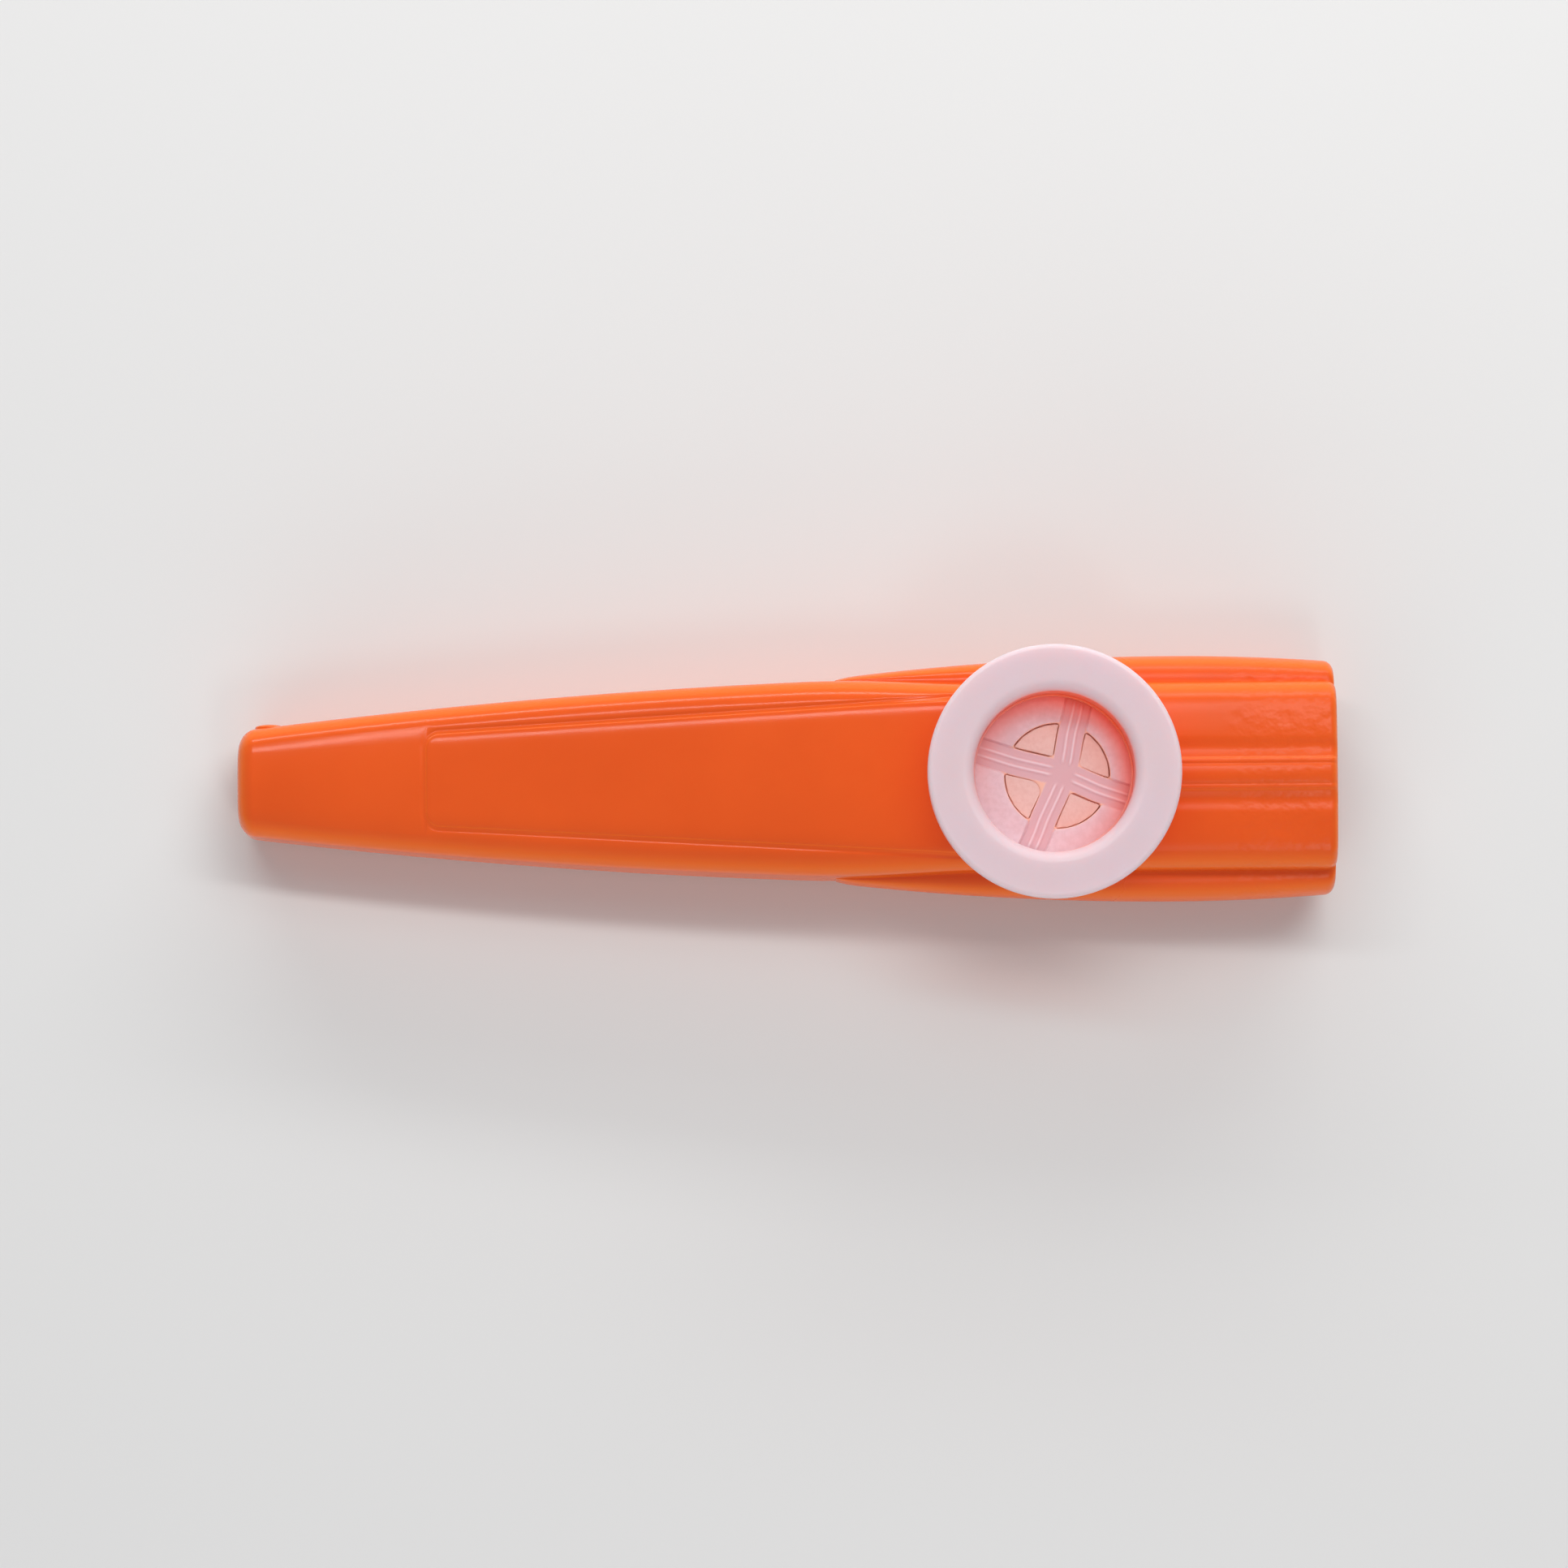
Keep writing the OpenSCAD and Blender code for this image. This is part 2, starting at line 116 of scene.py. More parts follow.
def gridFaces(rows, columns, wrapRows=False, wrapColumns=False):
    # Quads of a grid of points: each joins a point, its next one along, and the two in the next row
    row = np.arange(rows if wrapRows else rows - 1)
    column = np.arange(columns if wrapColumns else columns - 1)
    i, j = np.meshgrid(row, column, indexing="ij")
    here, above = i * columns, (i + 1) % rows * columns
    nextColumn = (j + 1) % columns
    return np.stack([here + j, here + nextColumn, above + nextColumn, above + j], -1).reshape(-1, 4)


def clean(mesh, near, short, cut=False):
    # Merges near points, leaves out short edges and turns all faces outwards; after a cut, many-sided faces
    # become triangles first, and what is left open or loose is closed or taken out
    work = bmesh.new()
    work.from_mesh(mesh)
    bmesh.ops.remove_doubles(work, verts=work.verts, dist=near * mm)
    if cut:
        many = [face for face in work.faces if len(face.verts) > 4]
        bmesh.ops.triangulate(work, faces=many, quad_method="BEAUTY", ngon_method="BEAUTY")
    bmesh.ops.dissolve_degenerate(work, edges=work.edges, dist=short * mm)
    if cut:
        bmesh.ops.holes_fill(work, edges=[edge for edge in work.edges if edge.is_boundary], sides=4)
        loose = [edge for edge in work.edges if edge.is_wire]
        bmesh.ops.delete(work, geom=loose, context="EDGES")
    bmesh.ops.recalc_face_normals(work, faces=work.faces)
    work.to_mesh(mesh)
    work.free()


def smooth(piece, sharp):  # smooth shading, split where faces meet at more than the sharp angle
    piece.data.shade_smooth()
    piece.data.set_sharp_from_angle(angle=math.radians(sharp))


def makePiece(name, points, faces, sharp=tolerance["sharp"]):
    # A closed mesh object from points in millimetres
    mesh = bpy.data.meshes.new(name)
    mesh.from_pydata((np.asarray(points).reshape(-1, 3) * mm).tolist(), [], np.asarray(faces).tolist())
    clean(mesh, tolerance["near"], tolerance["short"])
    piece = bpy.data.objects.new(name, mesh)
    bpy.context.scene.collection.objects.link(piece)
    smooth(piece, sharp)
    return piece


def revolve(profile, centre, turns):
    # Profile points (radius, height) turned about an upright axis: x = centre + r cos t, y = r sin t
    profile = np.asarray(profile, float)
    angle = np.arange(turns) * 2 * np.pi / turns
    radius, height = profile[:, :1], profile[:, 1:]
    x = centre + radius * np.cos(angle)
    y = radius * np.sin(angle)
    return np.stack([x, y, height + 0 * angle], -1), gridFaces(len(profile), turns, True, True)


def combine(piece, tool, operation):
    # Joins the tool's solid to the piece or cuts it away, and keeps the result as the piece's mesh
    change = piece.modifiers.new("change", "BOOLEAN")
    change.operation = operation
    change.solver = "EXACT"
    change.object = tool
    shown = piece.evaluated_get(bpy.context.evaluated_depsgraph_get())
    changed = bpy.data.meshes.new_from_object(shown)
    piece.modifiers.clear()
    piece.data = changed
    bpy.data.objects.remove(tool)


def mark(piece, name, values):
    # A number for each point of the mesh, under a name that a material can read
    layer = piece.data.attributes.new(name, "FLOAT", "POINT")
    layer.data.foreach_set("value", values.astype(np.float32))


def readPoints(piece, what):
    # Each point's place in millimetres, or its normal
    values = np.empty(3 * len(piece.data.vertices))
    piece.data.vertices.foreach_get(what, values)
    return (values.reshape(-1, 3) / (mm if what == "co" else 1)).T


def dress(piece, bodyName, slotName, material, *nodes):
    # The piece rides on a body, wears the material and stands for nodes; the slot's name is not used
    piece.data.materials.clear()
    piece.data.materials.append(material)
    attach(piece, bodyName)
    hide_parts(*nodes)


# Body: two half shells with a seam between them

body = {
    "length": 120, "tipHeight": 12.4, "mouthHeight": 17, "tipWidth": 11.7, "waistWidth": 22.1,
    "spineWidth": 21, "tipShoulder": 2.2, "waistShoulder": 2.7, "mouthShoulder": 2.5,
    "tipCrown": 0.9, "crown": 0.8, "mouthCrown": 1.0,
    "wall": 1.5, "outlet": 3.3, "outletLength": 7, "throatLap": 0.4, "throatShare": 0.9,
    "tipRound": 1.9, "tipRoundIn": 2.1, "lip": 1, "bowShare": 0.58, "leanShare": 0.05,
    "waistShare": 0.37, "waistBackShare": 0.2, "seamDepth": 0.09, "seamHeight": 0.13,
}
lobe = {
    "width": 27, "startWidth": 22.6, "length": 54.6, "peak": 18, "taper": 0.72, "front": 2.5,
    "creaseStartShare": 0.3, "creaseShare": 0.47, "innerCreaseShare": 0.7, "square": 0.8,
}
panel = {
    "start": 20.8, "startWidth": 9.9, "endWidth": 17.9, "rise": 0.22, "edge": 1.6, "corner": 1.4,
    "gutter": 0.09, "gutterWidth": 0.75,
}
rib = {
    "bead": 1.1, "beadHeight": 0.16, "pad": 1.45, "padHeight": 0.22, "groove": 0.25, "grooveDepth": 0.035,
    "flute": 2.8, "fluteDepth": 0.22, "padFall": 0.5, "lines": (8, 8, 1, 7, 9, 5), "outerLineShare": 0.39,
}
gate = {
    "back": 3.4, "radius": 1.6, "foot": 0.15, "height": 0.22, "riseShare": 1.3, "points": 10, "turns": 48,
}
turret = {
    "back": 31, "socket": 10.3, "wall": 1.2, "height": 4.2, "seatDepth": 1.8, "seat": 1.2,
    "ledge": 1.6, "resonatorGap": 0.3, "edge": 0.2, "edgePoints": 6, "above": 1, "turns": 192,
}
# How finely the sections are divided: the small angles follow the groove at the seam
fine = {
    "seamAngles": (0, 0.002, 0.006, 0.012, 0.022, 0.04), "sideFrom": 0.07, "side": 18,
    "wall": 4, "turn": 12, "panelFlat": 14, "panelEdge": 16, "gutter": 8, "belly": 10,
    "channelSide": 40, "channelWall": 20, "channelTurn": 30, "channelTop": 40,
}

mouthX = body["length"] / 2
tipX = -body["length"] / 2
lobeX = mouthX - lobe["length"]
peakX = mouthX - lobe["peak"]
panelX = tipX + panel["start"]
throatX = tipX + body["outletLength"] - body["throatLap"]
channelX = throatX + body["throatShare"] * body["outletLength"]
turretX = mouthX - turret["back"]
drumR = turret["socket"] + turret["wall"]
resonatorR = turret["socket"] - turret["resonatorGap"]

# Stations along the body, close together where it turns quickly
stations = np.concatenate([[tipX], walk(tipX, [
    (opening, tipX + body["tipRound"], 12), (spread, throatX, 10), (spread, channelX, 14),
    (spread, panelX - panel["gutterWidth"], 10), (spread, panelX, 8), (opening, panelX + panel["edge"], 18),
    (spread, lobeX, 56), (opening, lobeX + lobe["front"], 12),
    (spread, mouthX - body["lip"], 96), (closing, mouthX, 8),
])])

# Angles up a side from the seam
sideAngles = np.concatenate([fine["seamAngles"], np.linspace(fine["sideFrom"], np.pi / 2, fine["side"])])


def heightAt(x):  # an even change from the tip's height to the mouth's
    return mix(body["tipHeight"], body["mouthHeight"], (x - tipX) / body["length"])


def seamAt(x):  # half the height
    return heightAt(x) / 2


def shoulderAt(x):  # one even change from the tip to the lobes, another from there to the mouth
    rising = mix(body["tipShoulder"], body["waistShoulder"], (x - tipX) / (lobeX - tipX))
    falling = mix(body["waistShoulder"], body["mouthShoulder"], (x - lobeX) / lobe["length"])
    return np.where(x < lobeX, rising, falling)


def changeAt(x):  # how far the panel's top has given way to the rib's, under the turret
    return ease((x - turretX + drumR) / (2 * drumR))


def crownAt(x):  # the tip's crown eases into the waist's before the panel, and that into the mouth's
    fromTip = mix(body["tipCrown"], body["crown"], ease((x - tipX) / panel["start"]))
    return mix(fromTip, body["mouthCrown"], changeAt(x))


def mainHalf(x):
    # Half width without the lobes: a bowed rise from the tip, which eases into the spine's width
    u = (x - tipX) / (lobeX - tipX)
    rise = mix(body["tipWidth"], body["waistWidth"], (1 + body["bowShare"]) * u - body["bowShare"] * u * u)
    toSpine = ease((x - lobeX) / (body["waistShare"] * lobe["length"]) + body["waistBackShare"])
    return mix(rise, body["spineWidth"], toSpine) / 2


def bulgeAt(x):
    # How far a lobe stands out: one parabola up to its widest point, another down to the mouth, and a
    # quarter ellipse at its front
    rising = mix(lobe["startWidth"], lobe["width"], 1 - (1 - clamp((x - lobeX) / (peakX - lobeX))) ** 2) / 2
    falling = lobe["width"] / 2 - lobe["taper"] * ((x - peakX) / lobe["peak"]) ** 2
    front = np.sqrt(1 - (1 - clamp((x - lobeX) / lobe["front"])) ** 2)
    return np.maximum(np.where(x < peakX, rising, falling) - mainHalf(x), 0) * front


def creaseAt(x):  # how high over the seam the lobe's crease runs, as a share of the half height
    return mix(lobe["creaseStartShare"], lobe["creaseShare"], ease((x - lobeX) / (peakX - lobeX)))


def endInset(x):
    # How far the rounded edges of the two ends draw the outside in: a quarter ellipse at the tip and a
    # quarter circle at the mouth
    t = clamp((x - tipX) / body["tipRound"])
    m = clamp((mouthX - x) / body["lip"])
    return (body["tipRoundIn"] * (1 - np.sqrt(1 - (1 - t) ** 2))
            + body["lip"] * (1 - np.sqrt(1 - (1 - m) ** 2)))


def panelSide(x):  # half width of the label panel, an even change up to the turret's middle
    return mix(panel["startWidth"], panel["endWidth"], (x - panelX) / (turretX - panelX)) / 2


def panelHalf(x):  # the same, less a quarter circle at the panel's corner
    u = panel["corner"] * (1 - clamp((x - panelX) / panel["corner"]))
    return panelSide(x) - panel["corner"] + np.sqrt(panel["corner"] ** 2 - u * u)


def panelReach(x, y):
    # Signed distance outside the panel's outline, a rectangle that widens, with round corners
    back = panelX + panel["corner"] - x
    side = y - (panelSide(x) - panel["corner"])
    outside = np.hypot(np.maximum(back, 0), np.maximum(side, 0))
    return outside + np.minimum(np.maximum(back, side), 0) - panel["corner"]


def panelRise(x, y):
    # Height of the panel over the crowned top: its edge is a quarter ellipse across the distance to its
    # outline, and a shallow gutter, a squared sine, runs round it
    fade = 1 - ease((x - turretX + drumR) / drumR)
    reach = panelReach(x, y)
    edge = panel["rise"] * np.sqrt(1 - clamp(1 + reach / panel["edge"]) ** 2)
    gutter = panel["gutter"] * np.sin(np.pi * clamp(reach / panel["gutterWidth"])) ** 2
    return fade * (edge - gutter)


def ribRelief(x, y):
    # Height of the mouth rib: a crowned bead on a pad, a groove along each edge of the bead, and a
    # flute beside the pad, one wave of a cosine
    y = np.abs(y)
    bead = rib["beadHeight"] * (1 - np.minimum(y / rib["bead"], 1) ** 2)
    pad = rib["padHeight"] * (1 - ease((y - rib["pad"]) / rib["padFall"]))
    groove = rib["grooveDepth"] * ease(1 - np.abs(y - rib["bead"]) / rib["groove"])
    flute = rib["fluteDepth"] * (1 - np.cos(2 * np.pi * clamp((y - rib["pad"]) / rib["flute"]))) / 2
    share = ease((x - turretX) / drumR) * (1 - endInset(x) / body["lip"])
    return share * (bead + pad - groove - flute)


def topLines(x):
    # Places across the top where its points lie: along the panel and its gutter, turning into the rib's
    w = panelHalf(x)
    inner = w - panel["edge"]
    flat = parts(inner, fine["panelFlat"])
    edge = inner + panel["edge"] * np.sin(parts(np.pi / 2, fine["panelEdge"]))
    gutter = w + parts(panel["gutterWidth"], fine["gutter"])
    bead, groove, pad = rib["bead"], rib["groove"], rib["pad"]
    ends = [bead - groove, bead + groove, pad, pad + rib["padFall"], pad + rib["flute"],
            rib["outerLineShare"] * body["spineWidth"]]
    ribLines = walk(0, [(spread, end, count) for end, count in zip(ends, rib["lines"])])
    return mix(np.concatenate([flat, edge, gutter], 1), ribLines[None], changeAt(x))


def flatHalf(w, h, r):  # half width of a level top between its round edges, on walls that lean
    return w * (1 - body["leanShare"] * (1 - r / h)) - r


def halfSection(w, h, r, crown, bulge, crease, lines, sides, walls, turns):
    # Half of each section, from the seam up and in to the middle, as (y, height over the seam): a squarish
    # arc over the lobe up to its crease, a leaning wall, a quarter circle and the crowned top
    lean = body["leanShare"]
    bend = 1 - (r + crown) / h
    bent = w * (1 - lean * bend)
    flat = bent - r
    low = np.minimum(crease, bend)
    side = low * np.sin(sides) ** lobe["square"]
    out = bulge * np.abs(np.cos(sides)) ** lobe["square"]
    wall = spread(low, bend, walls)
    turn = parts(np.arccos(clamp((lines[:, -1:] - flat) / r)), turns)[:, :-1]
    turnY = flat + r * np.cos(turn)
    top = lines[:, ::-1]
    past = clamp((top - flat) / r)
    y = [w * (1 - lean * side) + out, w * (1 - lean * wall), turnY, top, 0 * w]
    z = [h * side, h * wall, h - crown * (turnY / bent) ** 2 - r * (1 - np.sin(turn)),
         h - crown * (top / bent) ** 2 - r * (1 - np.sqrt(1 - past ** 2)), h]
    return np.concatenate(y, 1), np.concatenate(z, 1)


def outerHalf(x, upper):
    # The outside: a half section with the panel and the rib, drawn in at the ends and at the seam
    w, h, r = mainHalf(x), seamAt(x), shoulderAt(x)
    lines = topLines(x) if upper else parts(flatHalf(w, h, r), fine["belly"])
    crown = crownAt(x) if upper else 0 * x
    y, z = halfSection(w, h, r, crown, bulgeAt(x), creaseAt(x),
                       lines, sideAngles, fine["wall"], fine["turn"])
    if upper:
        onTop = np.arange(y.shape[1]) >= y.shape[1] - 1 - lines.shape[1]
        z = z + onTop * (ribRelief(x, y) + panelRise(x, y))
    inset = endInset(x)
    seam = body["seamDepth"] * (1 - clamp(z / body["seamHeight"])) ** 2
    edge = w + bulgeAt(x)
    return y * (edge - inset) / edge - seam, z * (h - inset) / h


def innerHalf(x, y, z):
    # The channel: each point lies on the ray from the middle of the seam through an outside point,
    # where the ray meets the channel's wall, which closes to a round throat at the outlet
    w, h, r = mainHalf(x) - body["wall"], seamAt(x) - body["wall"], shoulderAt(x) - body["wall"] / 2
    lines = parts(flatHalf(w, h, r), fine["channelTop"])
    sides = np.linspace(0, np.pi / 2, fine["channelSide"])
    wallY, wallZ = halfSection(w, h, r, 0 * x, bulgeAt(x), lobe["innerCreaseShare"] * creaseAt(x),
                               lines, sides, fine["channelWall"], fine["channelTurn"])
    around, reach = np.arctan2(wallZ, wallY), np.hypot(wallY, wallZ)
    ray = np.arctan2(z, y)
    wall = np.stack([np.interp(ray[k], around[k], reach[k]) for k in range(len(x))])
    radius = mix(body["outlet"], wall, ease((x - throatX) / (channelX - throatX)))
    return radius * np.cos(ray), radius * np.sin(ray)


def bothSides(half, sign):  # a half section's values, and back over them for the other side
    return np.concatenate([half, sign * half[:, -2::-1]], 1)


def halfShell(name, upper):
    # A loft: each station's ring runs over the outside and back along the channel; the two end rings
    # are closed by quads between the outside and the channel
    x = stations[:, None]
    y, z = outerHalf(x, upper)
    innerY, innerZ = innerHalf(x, y, z)
    ringY = np.concatenate([bothSides(y, -1), bothSides(innerY, -1)[:, ::-1]], 1)
    rise = np.concatenate([bothSides(z, 1), bothSides(innerZ, 1)[:, ::-1]], 1)
    ringZ = seamAt(x) + rise * (1 if upper else -1)
    points = np.stack([x + 0 * ringY, ringY, ringZ], -1)
    rows, columns = ringY.shape
    outside = np.arange(columns // 2 - 1)
    back = columns - 1 - outside
    end = np.stack([outside, outside + 1, back - 1, back], -1)
    faces = np.concatenate([gridFaces(rows, columns, False, True), end, end + (rows - 1) * columns])
    return makePiece(name, points, faces)


def gateMark():
    # A low dome on the side, a quarter ellipse turned about a line across the body
    x = tipX + gate["back"]
    r, low, tall = gate["radius"], float(mainHalf(x)) - gate["foot"], gate["foot"] + gate["height"]
    root = low - body["wall"] / 2
    dome = arc((0, 0), 1, 0, 90, gate["points"]) * (r, tall) + (0, low)
    points, faces = revolve(np.concatenate([[[0, root], [r, root]], dome]), 0, gate["turns"])
    z = float(seamAt(x)) + gate["riseShare"] * r + points[..., 1]
    return makePiece("gate", np.stack([x + points[..., 0], points[..., 2], z], -1), faces)


deckZ = float(heightAt(turretX))
drumZ = deckZ + turret["height"]
seatZ = deckZ - turret["seatDepth"]


def drum():  # the turret's drum as a full round block, with a quarter circle round its edge
    e = turret["edge"]
    foot = seatZ - turret["seat"]
    edge = arc((drumR - e, drumZ - e), e, 0, 90, turret["edgePoints"])
    profile = np.concatenate([[[0, foot], [drumR, foot]], edge, [[0, drumZ]]])
    return makePiece("drum", *revolve(profile, turretX, turret["turns"]))


def socket():  # what is cut out of the drum: the socket over its ledge, and the throat
    r, e = turret["socket"], turret["edge"]
    throat, foot, top = r - turret["ledge"], seatZ - 2 * turret["seat"], drumZ + turret["above"]
    edge = arc((r + e, drumZ - e), e, 180, 90, turret["edgePoints"])
    profile = np.concatenate([
        [[0, foot], [throat, foot], [throat, seatZ], [r, seatZ]], edge, [[r + e, top], [0, top]]])
    return makePiece("socket", *revolve(profile, turretX, turret["turns"]))


# Materials: a noise is its scale, in lumps for each metre, and its detail; what is under shader goes to the
# shader's own sockets, in metres where it is a length

def newMaterial(name):  # an empty material, with its nodes and links
    material = bpy.data.materials.new(name)
    material.use_nodes = True
    return material, material.node_tree.nodes, material.node_tree.links


def setInputs(node, values):  # sets the node's sockets of these names
    for key, value in values.items():
        node.inputs[key].default_value = value


def noiseOf(nodes, links, place, noise):  # noise on object coordinates
    node = nodes.new("ShaderNodeTexNoise")
    setInputs(node, {"Scale": noise[0], "Detail": noise[1]})
    links.new(place.outputs["Object"], node.inputs["Vector"])
    return node.outputs["Fac"]


def rangeOf(nodes, links, value, given, wanted=(0, 1)):  # the given range, eased into the wanted one
    node = nodes.new("ShaderNodeMapRange")
    node.interpolation_type = "SMOOTHSTEP"
    setInputs(node, {"From Min": given[0], "From Max": given[1], "To Min": wanted[0], "To Max": wanted[1]})
    links.new(value, node.inputs["Value"])
    return node.outputs["Result"]


def mathOf(nodes, links, operation, a, b):  # the operation on two numbers or sockets
    node = nodes.new("ShaderNodeMath")
    node.operation = operation
    for value, entry in zip((a, b), node.inputs):
        if isinstance(value, (int, float)):
            entry.default_value = value
        else:
            links.new(value, entry)
    return node.outputs["Value"]


def mixColour(nodes, links, share, low, high):
    # Low at share 0 and high at share 1; the node's entries for colours are 6 and 7, and its result is 2
    node = nodes.new("ShaderNodeMix")
    node.data_type = "RGBA"
    links.new(share, node.inputs["Factor"])
    for value, entry in ((low, node.inputs[6]), (high, node.inputs[7])):
        if isinstance(value, tuple):
            entry.default_value = (*value, 1)
        else:
            links.new(value, entry)
    return node.outputs[2]


def bumpOf(nodes, links, height, distance, below=None):
    # A normal from a height, which is this many millimetres at 1, on top of the normal below
    node = nodes.new("ShaderNodeBump")
    setInputs(node, {"Distance": distance * mm, "Strength": 1.0})
    links.new(height, node.inputs["Height"])
    if below is not None:
        links.new(below, node.inputs["Normal"])
    return node.outputs["Normal"]


def markOf(nodes, name):  # the share that is marked on the mesh under this name
    node = nodes.new("ShaderNodeAttribute")
    node.attribute_name = name
    return node.outputs["Fac"]


def axesOf(nodes, links, place):  # the place's X, Y and Z in the object
    node = nodes.new("ShaderNodeSeparateXYZ")
    links.new(place.outputs["Object"], node.inputs["Vector"])
    return node.outputs


def mixShaders(nodes, links, share, first, second, end):
    # The first shader at share 0 and the second at share 1, as the end's surface
    either = nodes.new("ShaderNodeMixShader")
    links.new(share, either.inputs["Fac"])
    links.new(first.outputs[0], either.inputs[1])
    links.new(second.outputs[0], either.inputs[2])
    links.new(either.outputs["Shader"], nodes[end].inputs["Surface"])


# rim and its shares are a painted highlight: a lighter, yellower orange for tilted shoulders and walls
bodyLook = {
    "deep": (0.735, 0.086, 0.008), "bright": (0.795, 0.098, 0.010), "rim": (0.90, 0.156, 0.011),
    "highlightFull": 0.45, "wallFrom": 0.55, "wallShare": 0.45,
    "mottle": (60, 4), "mottleRange": (0.25, 0.75),
    "smear": (180, 3), "smearRange": (0.2, 0.8), "roughness": (0.14, 0.19), "mouthRough": 0.14,
    "wave": (330, 1), "waveHeight": 0.006, "grain": (5200, 2), "grainHeight": 0.003,
    "lumps": (700, 2), "lumpHeight": 0.12, "lumpsFrom": 46, "lumpsFull": 51,
    "shader": {"IOR": 1.45, "Subsurface Weight": 0.12, "Subsurface Scale": 0.0015,
               "Subsurface Radius": (1.0, 0.25, 0.08), "Specular IOR Level": 0.32},
}


def bodyMaterial():
    # Glossy orange plastic with a faint mottle and grain, and a painted highlight: its shoulders and walls
    # are painted lighter and yellower, as where the light falls on them; it is rougher past the turret, and
    # its mouth edge is worn
    look = bodyLook
    material, nodes, links = newMaterial("glossy_orange_plastic")
    shader = nodes["Principled BSDF"]
    place = nodes.new("ShaderNodeTexCoord")
    mottle = rangeOf(nodes, links, noiseOf(nodes, links, place, look["mottle"]), look["mottleRange"])
    plain = mixColour(nodes, links, mottle, look["deep"], look["bright"])
    # Painted highlight: the rim colour is mixed in where the mesh is marked as tilted
    colour = mixColour(nodes, links, markOf(nodes, "rim"), plain, look["rim"])
    links.new(colour, shader.inputs["Base Color"])
    x = axesOf(nodes, links, place)["X"]
    smear = noiseOf(nodes, links, place, look["smear"])
    rough = rangeOf(nodes, links, smear, look["smearRange"], look["roughness"])
    past = rangeOf(nodes, links, x, (turretX * mm, (turretX + drumR) * mm), (0, look["mouthRough"]))
    links.new(mathOf(nodes, links, "ADD", rough, past), shader.inputs["Roughness"])
    wave = bumpOf(nodes, links, noiseOf(nodes, links, place, look["wave"]), look["waveHeight"])
    grain = noiseOf(nodes, links, place, look["grain"])
    grained = bumpOf(nodes, links, grain, look["grainHeight"], wave)
    mouth = rangeOf(nodes, links, x, (look["lumpsFrom"] * mm, look["lumpsFull"] * mm))
    lumps = mathOf(nodes, links, "MULTIPLY", noiseOf(nodes, links, place, look["lumps"]), mouth)
    links.new(bumpOf(nodes, links, lumps, look["lumpHeight"], grained), shader.inputs["Normal"])
    setInputs(shader, look["shader"])
    return material


def markPaintedHighlight(piece):
    # How round the surface turns, which sets the painted highlight: from 0 where it lies level to 1 on its
    # shoulders, and a share on walls
    tilt = 1 - np.abs(readPoints(piece, "normal")[2])
    wall = ease((tilt - bodyLook["wallFrom"]) / (1 - bodyLook["wallFrom"]))
    mark(piece, "rim", ease(tilt / bodyLook["highlightFull"]) * mix(1, bodyLook["wallShare"], wall))


orange = bodyMaterial()
upper = halfShell("kazoo_body_top", True)
combine(upper, drum(), "UNION")
combine(upper, socket(), "DIFFERENCE")
combine(upper, gateMark(), "UNION")
clean(upper.data, tolerance["cutNear"], tolerance["cutNear"], True)
smooth(upper, tolerance["sharp"])
markPaintedHighlight(upper)
dress(upper, "body", "body", orange, "body_upper")
lower = halfShell("kazoo_body_belly", False)
markPaintedHighlight(lower)
dress(lower, "body", "body", orange, "body_lower")
print("body: both halves made,", len(upper.data.polygons), "and", len(lower.data.polygons), "faces")


# Sizes of the pieces in the turret: the ring, the film, the plate and the cap stand on one another

cap = {
    "past": 0.2, "thick": 3, "wall": 1.5, "gap": 0.08, "footStep": 0.25, "foot": 0.9,
    "funnel": 1.3, "edge": 0.5, "flangeGap": 0.3, "chamfer": 0.25, "footEdge": 0.1, "footRound": 0.06,
    "stepIn": 0.03, "stepUp": 0.05, "fillet": 0.2, "short": 0.01, "turns": 256, "borePoints": 8,
    "funnelPoints": 16, "topPoints": 6, "edgePoints": 8, "underPoints": 4, "filletPoints": 5,
}
plate = {
    "thick": 1.3, "window": 5.75, "bar": 1.45, "drop": 0.35, "ridge": 0.2, "ridgeHeight": 0.15,
    "ridgeOff": 0.42, "corner": 0.6, "bigCorner": 1.6, "outerCorner": 0.3, "hub": 1.1, "turn": -18.2,
    "rest": 0.05, "soft": 0.14, "rim": 0.12, "shift": (0.55, -0.15), "hubShift": (0.6, 0.2),
    "hubReach": 5.5, "ridgeRise": 0.4, "ridgeFall": 0.3, "ridgeShort": 0.1, "lump": 0.08, "lumpWidth": 0.9,
    "markRise": 0.5, "markFrom": 0.1, "rimPoints": 4, "loops": 17, "loopPower": 0.8,
    "arcSteps": (3, 4, 26, 4, 3), "sideSteps": 30, "outerCornerSteps": 6, "cornerSteps": 12,
}
film = {
    "thick": 0.12, "half": 0.02, "ring": 1, "ringWidth": 1.5, "ringEdge": 0.15, "inset": 0.15,
    "crinkle": 0.03, "folds": 14, "foldRange": (1.2, 7), "foldFall": 0.5, "foldFade": 2, "seed": 5,
    "bulge": 0.8, "bulgeStep": 0.12, "rings": 104, "turns": 330, "edgePoints": 4, "sharp": 60,
}

ringZ = seatZ + plate["rest"]
filmZ = ringZ + film["ring"]
plateZ = filmZ + film["thick"]
plateTop = plateZ + plate["thick"]
tubeZ = plateTop + plate["rest"]
flangeR = lobe["width"] / 2 + cap["past"]
flangeZ = drumZ + cap["flangeGap"]
capZ = flangeZ + cap["thick"]
tubeR = turret["socket"] - cap["gap"]
boreR = tubeR - cap["wall"]
footR = boreR - cap["footStep"]


# Cap: a tube that presses into the socket, under a wide flange

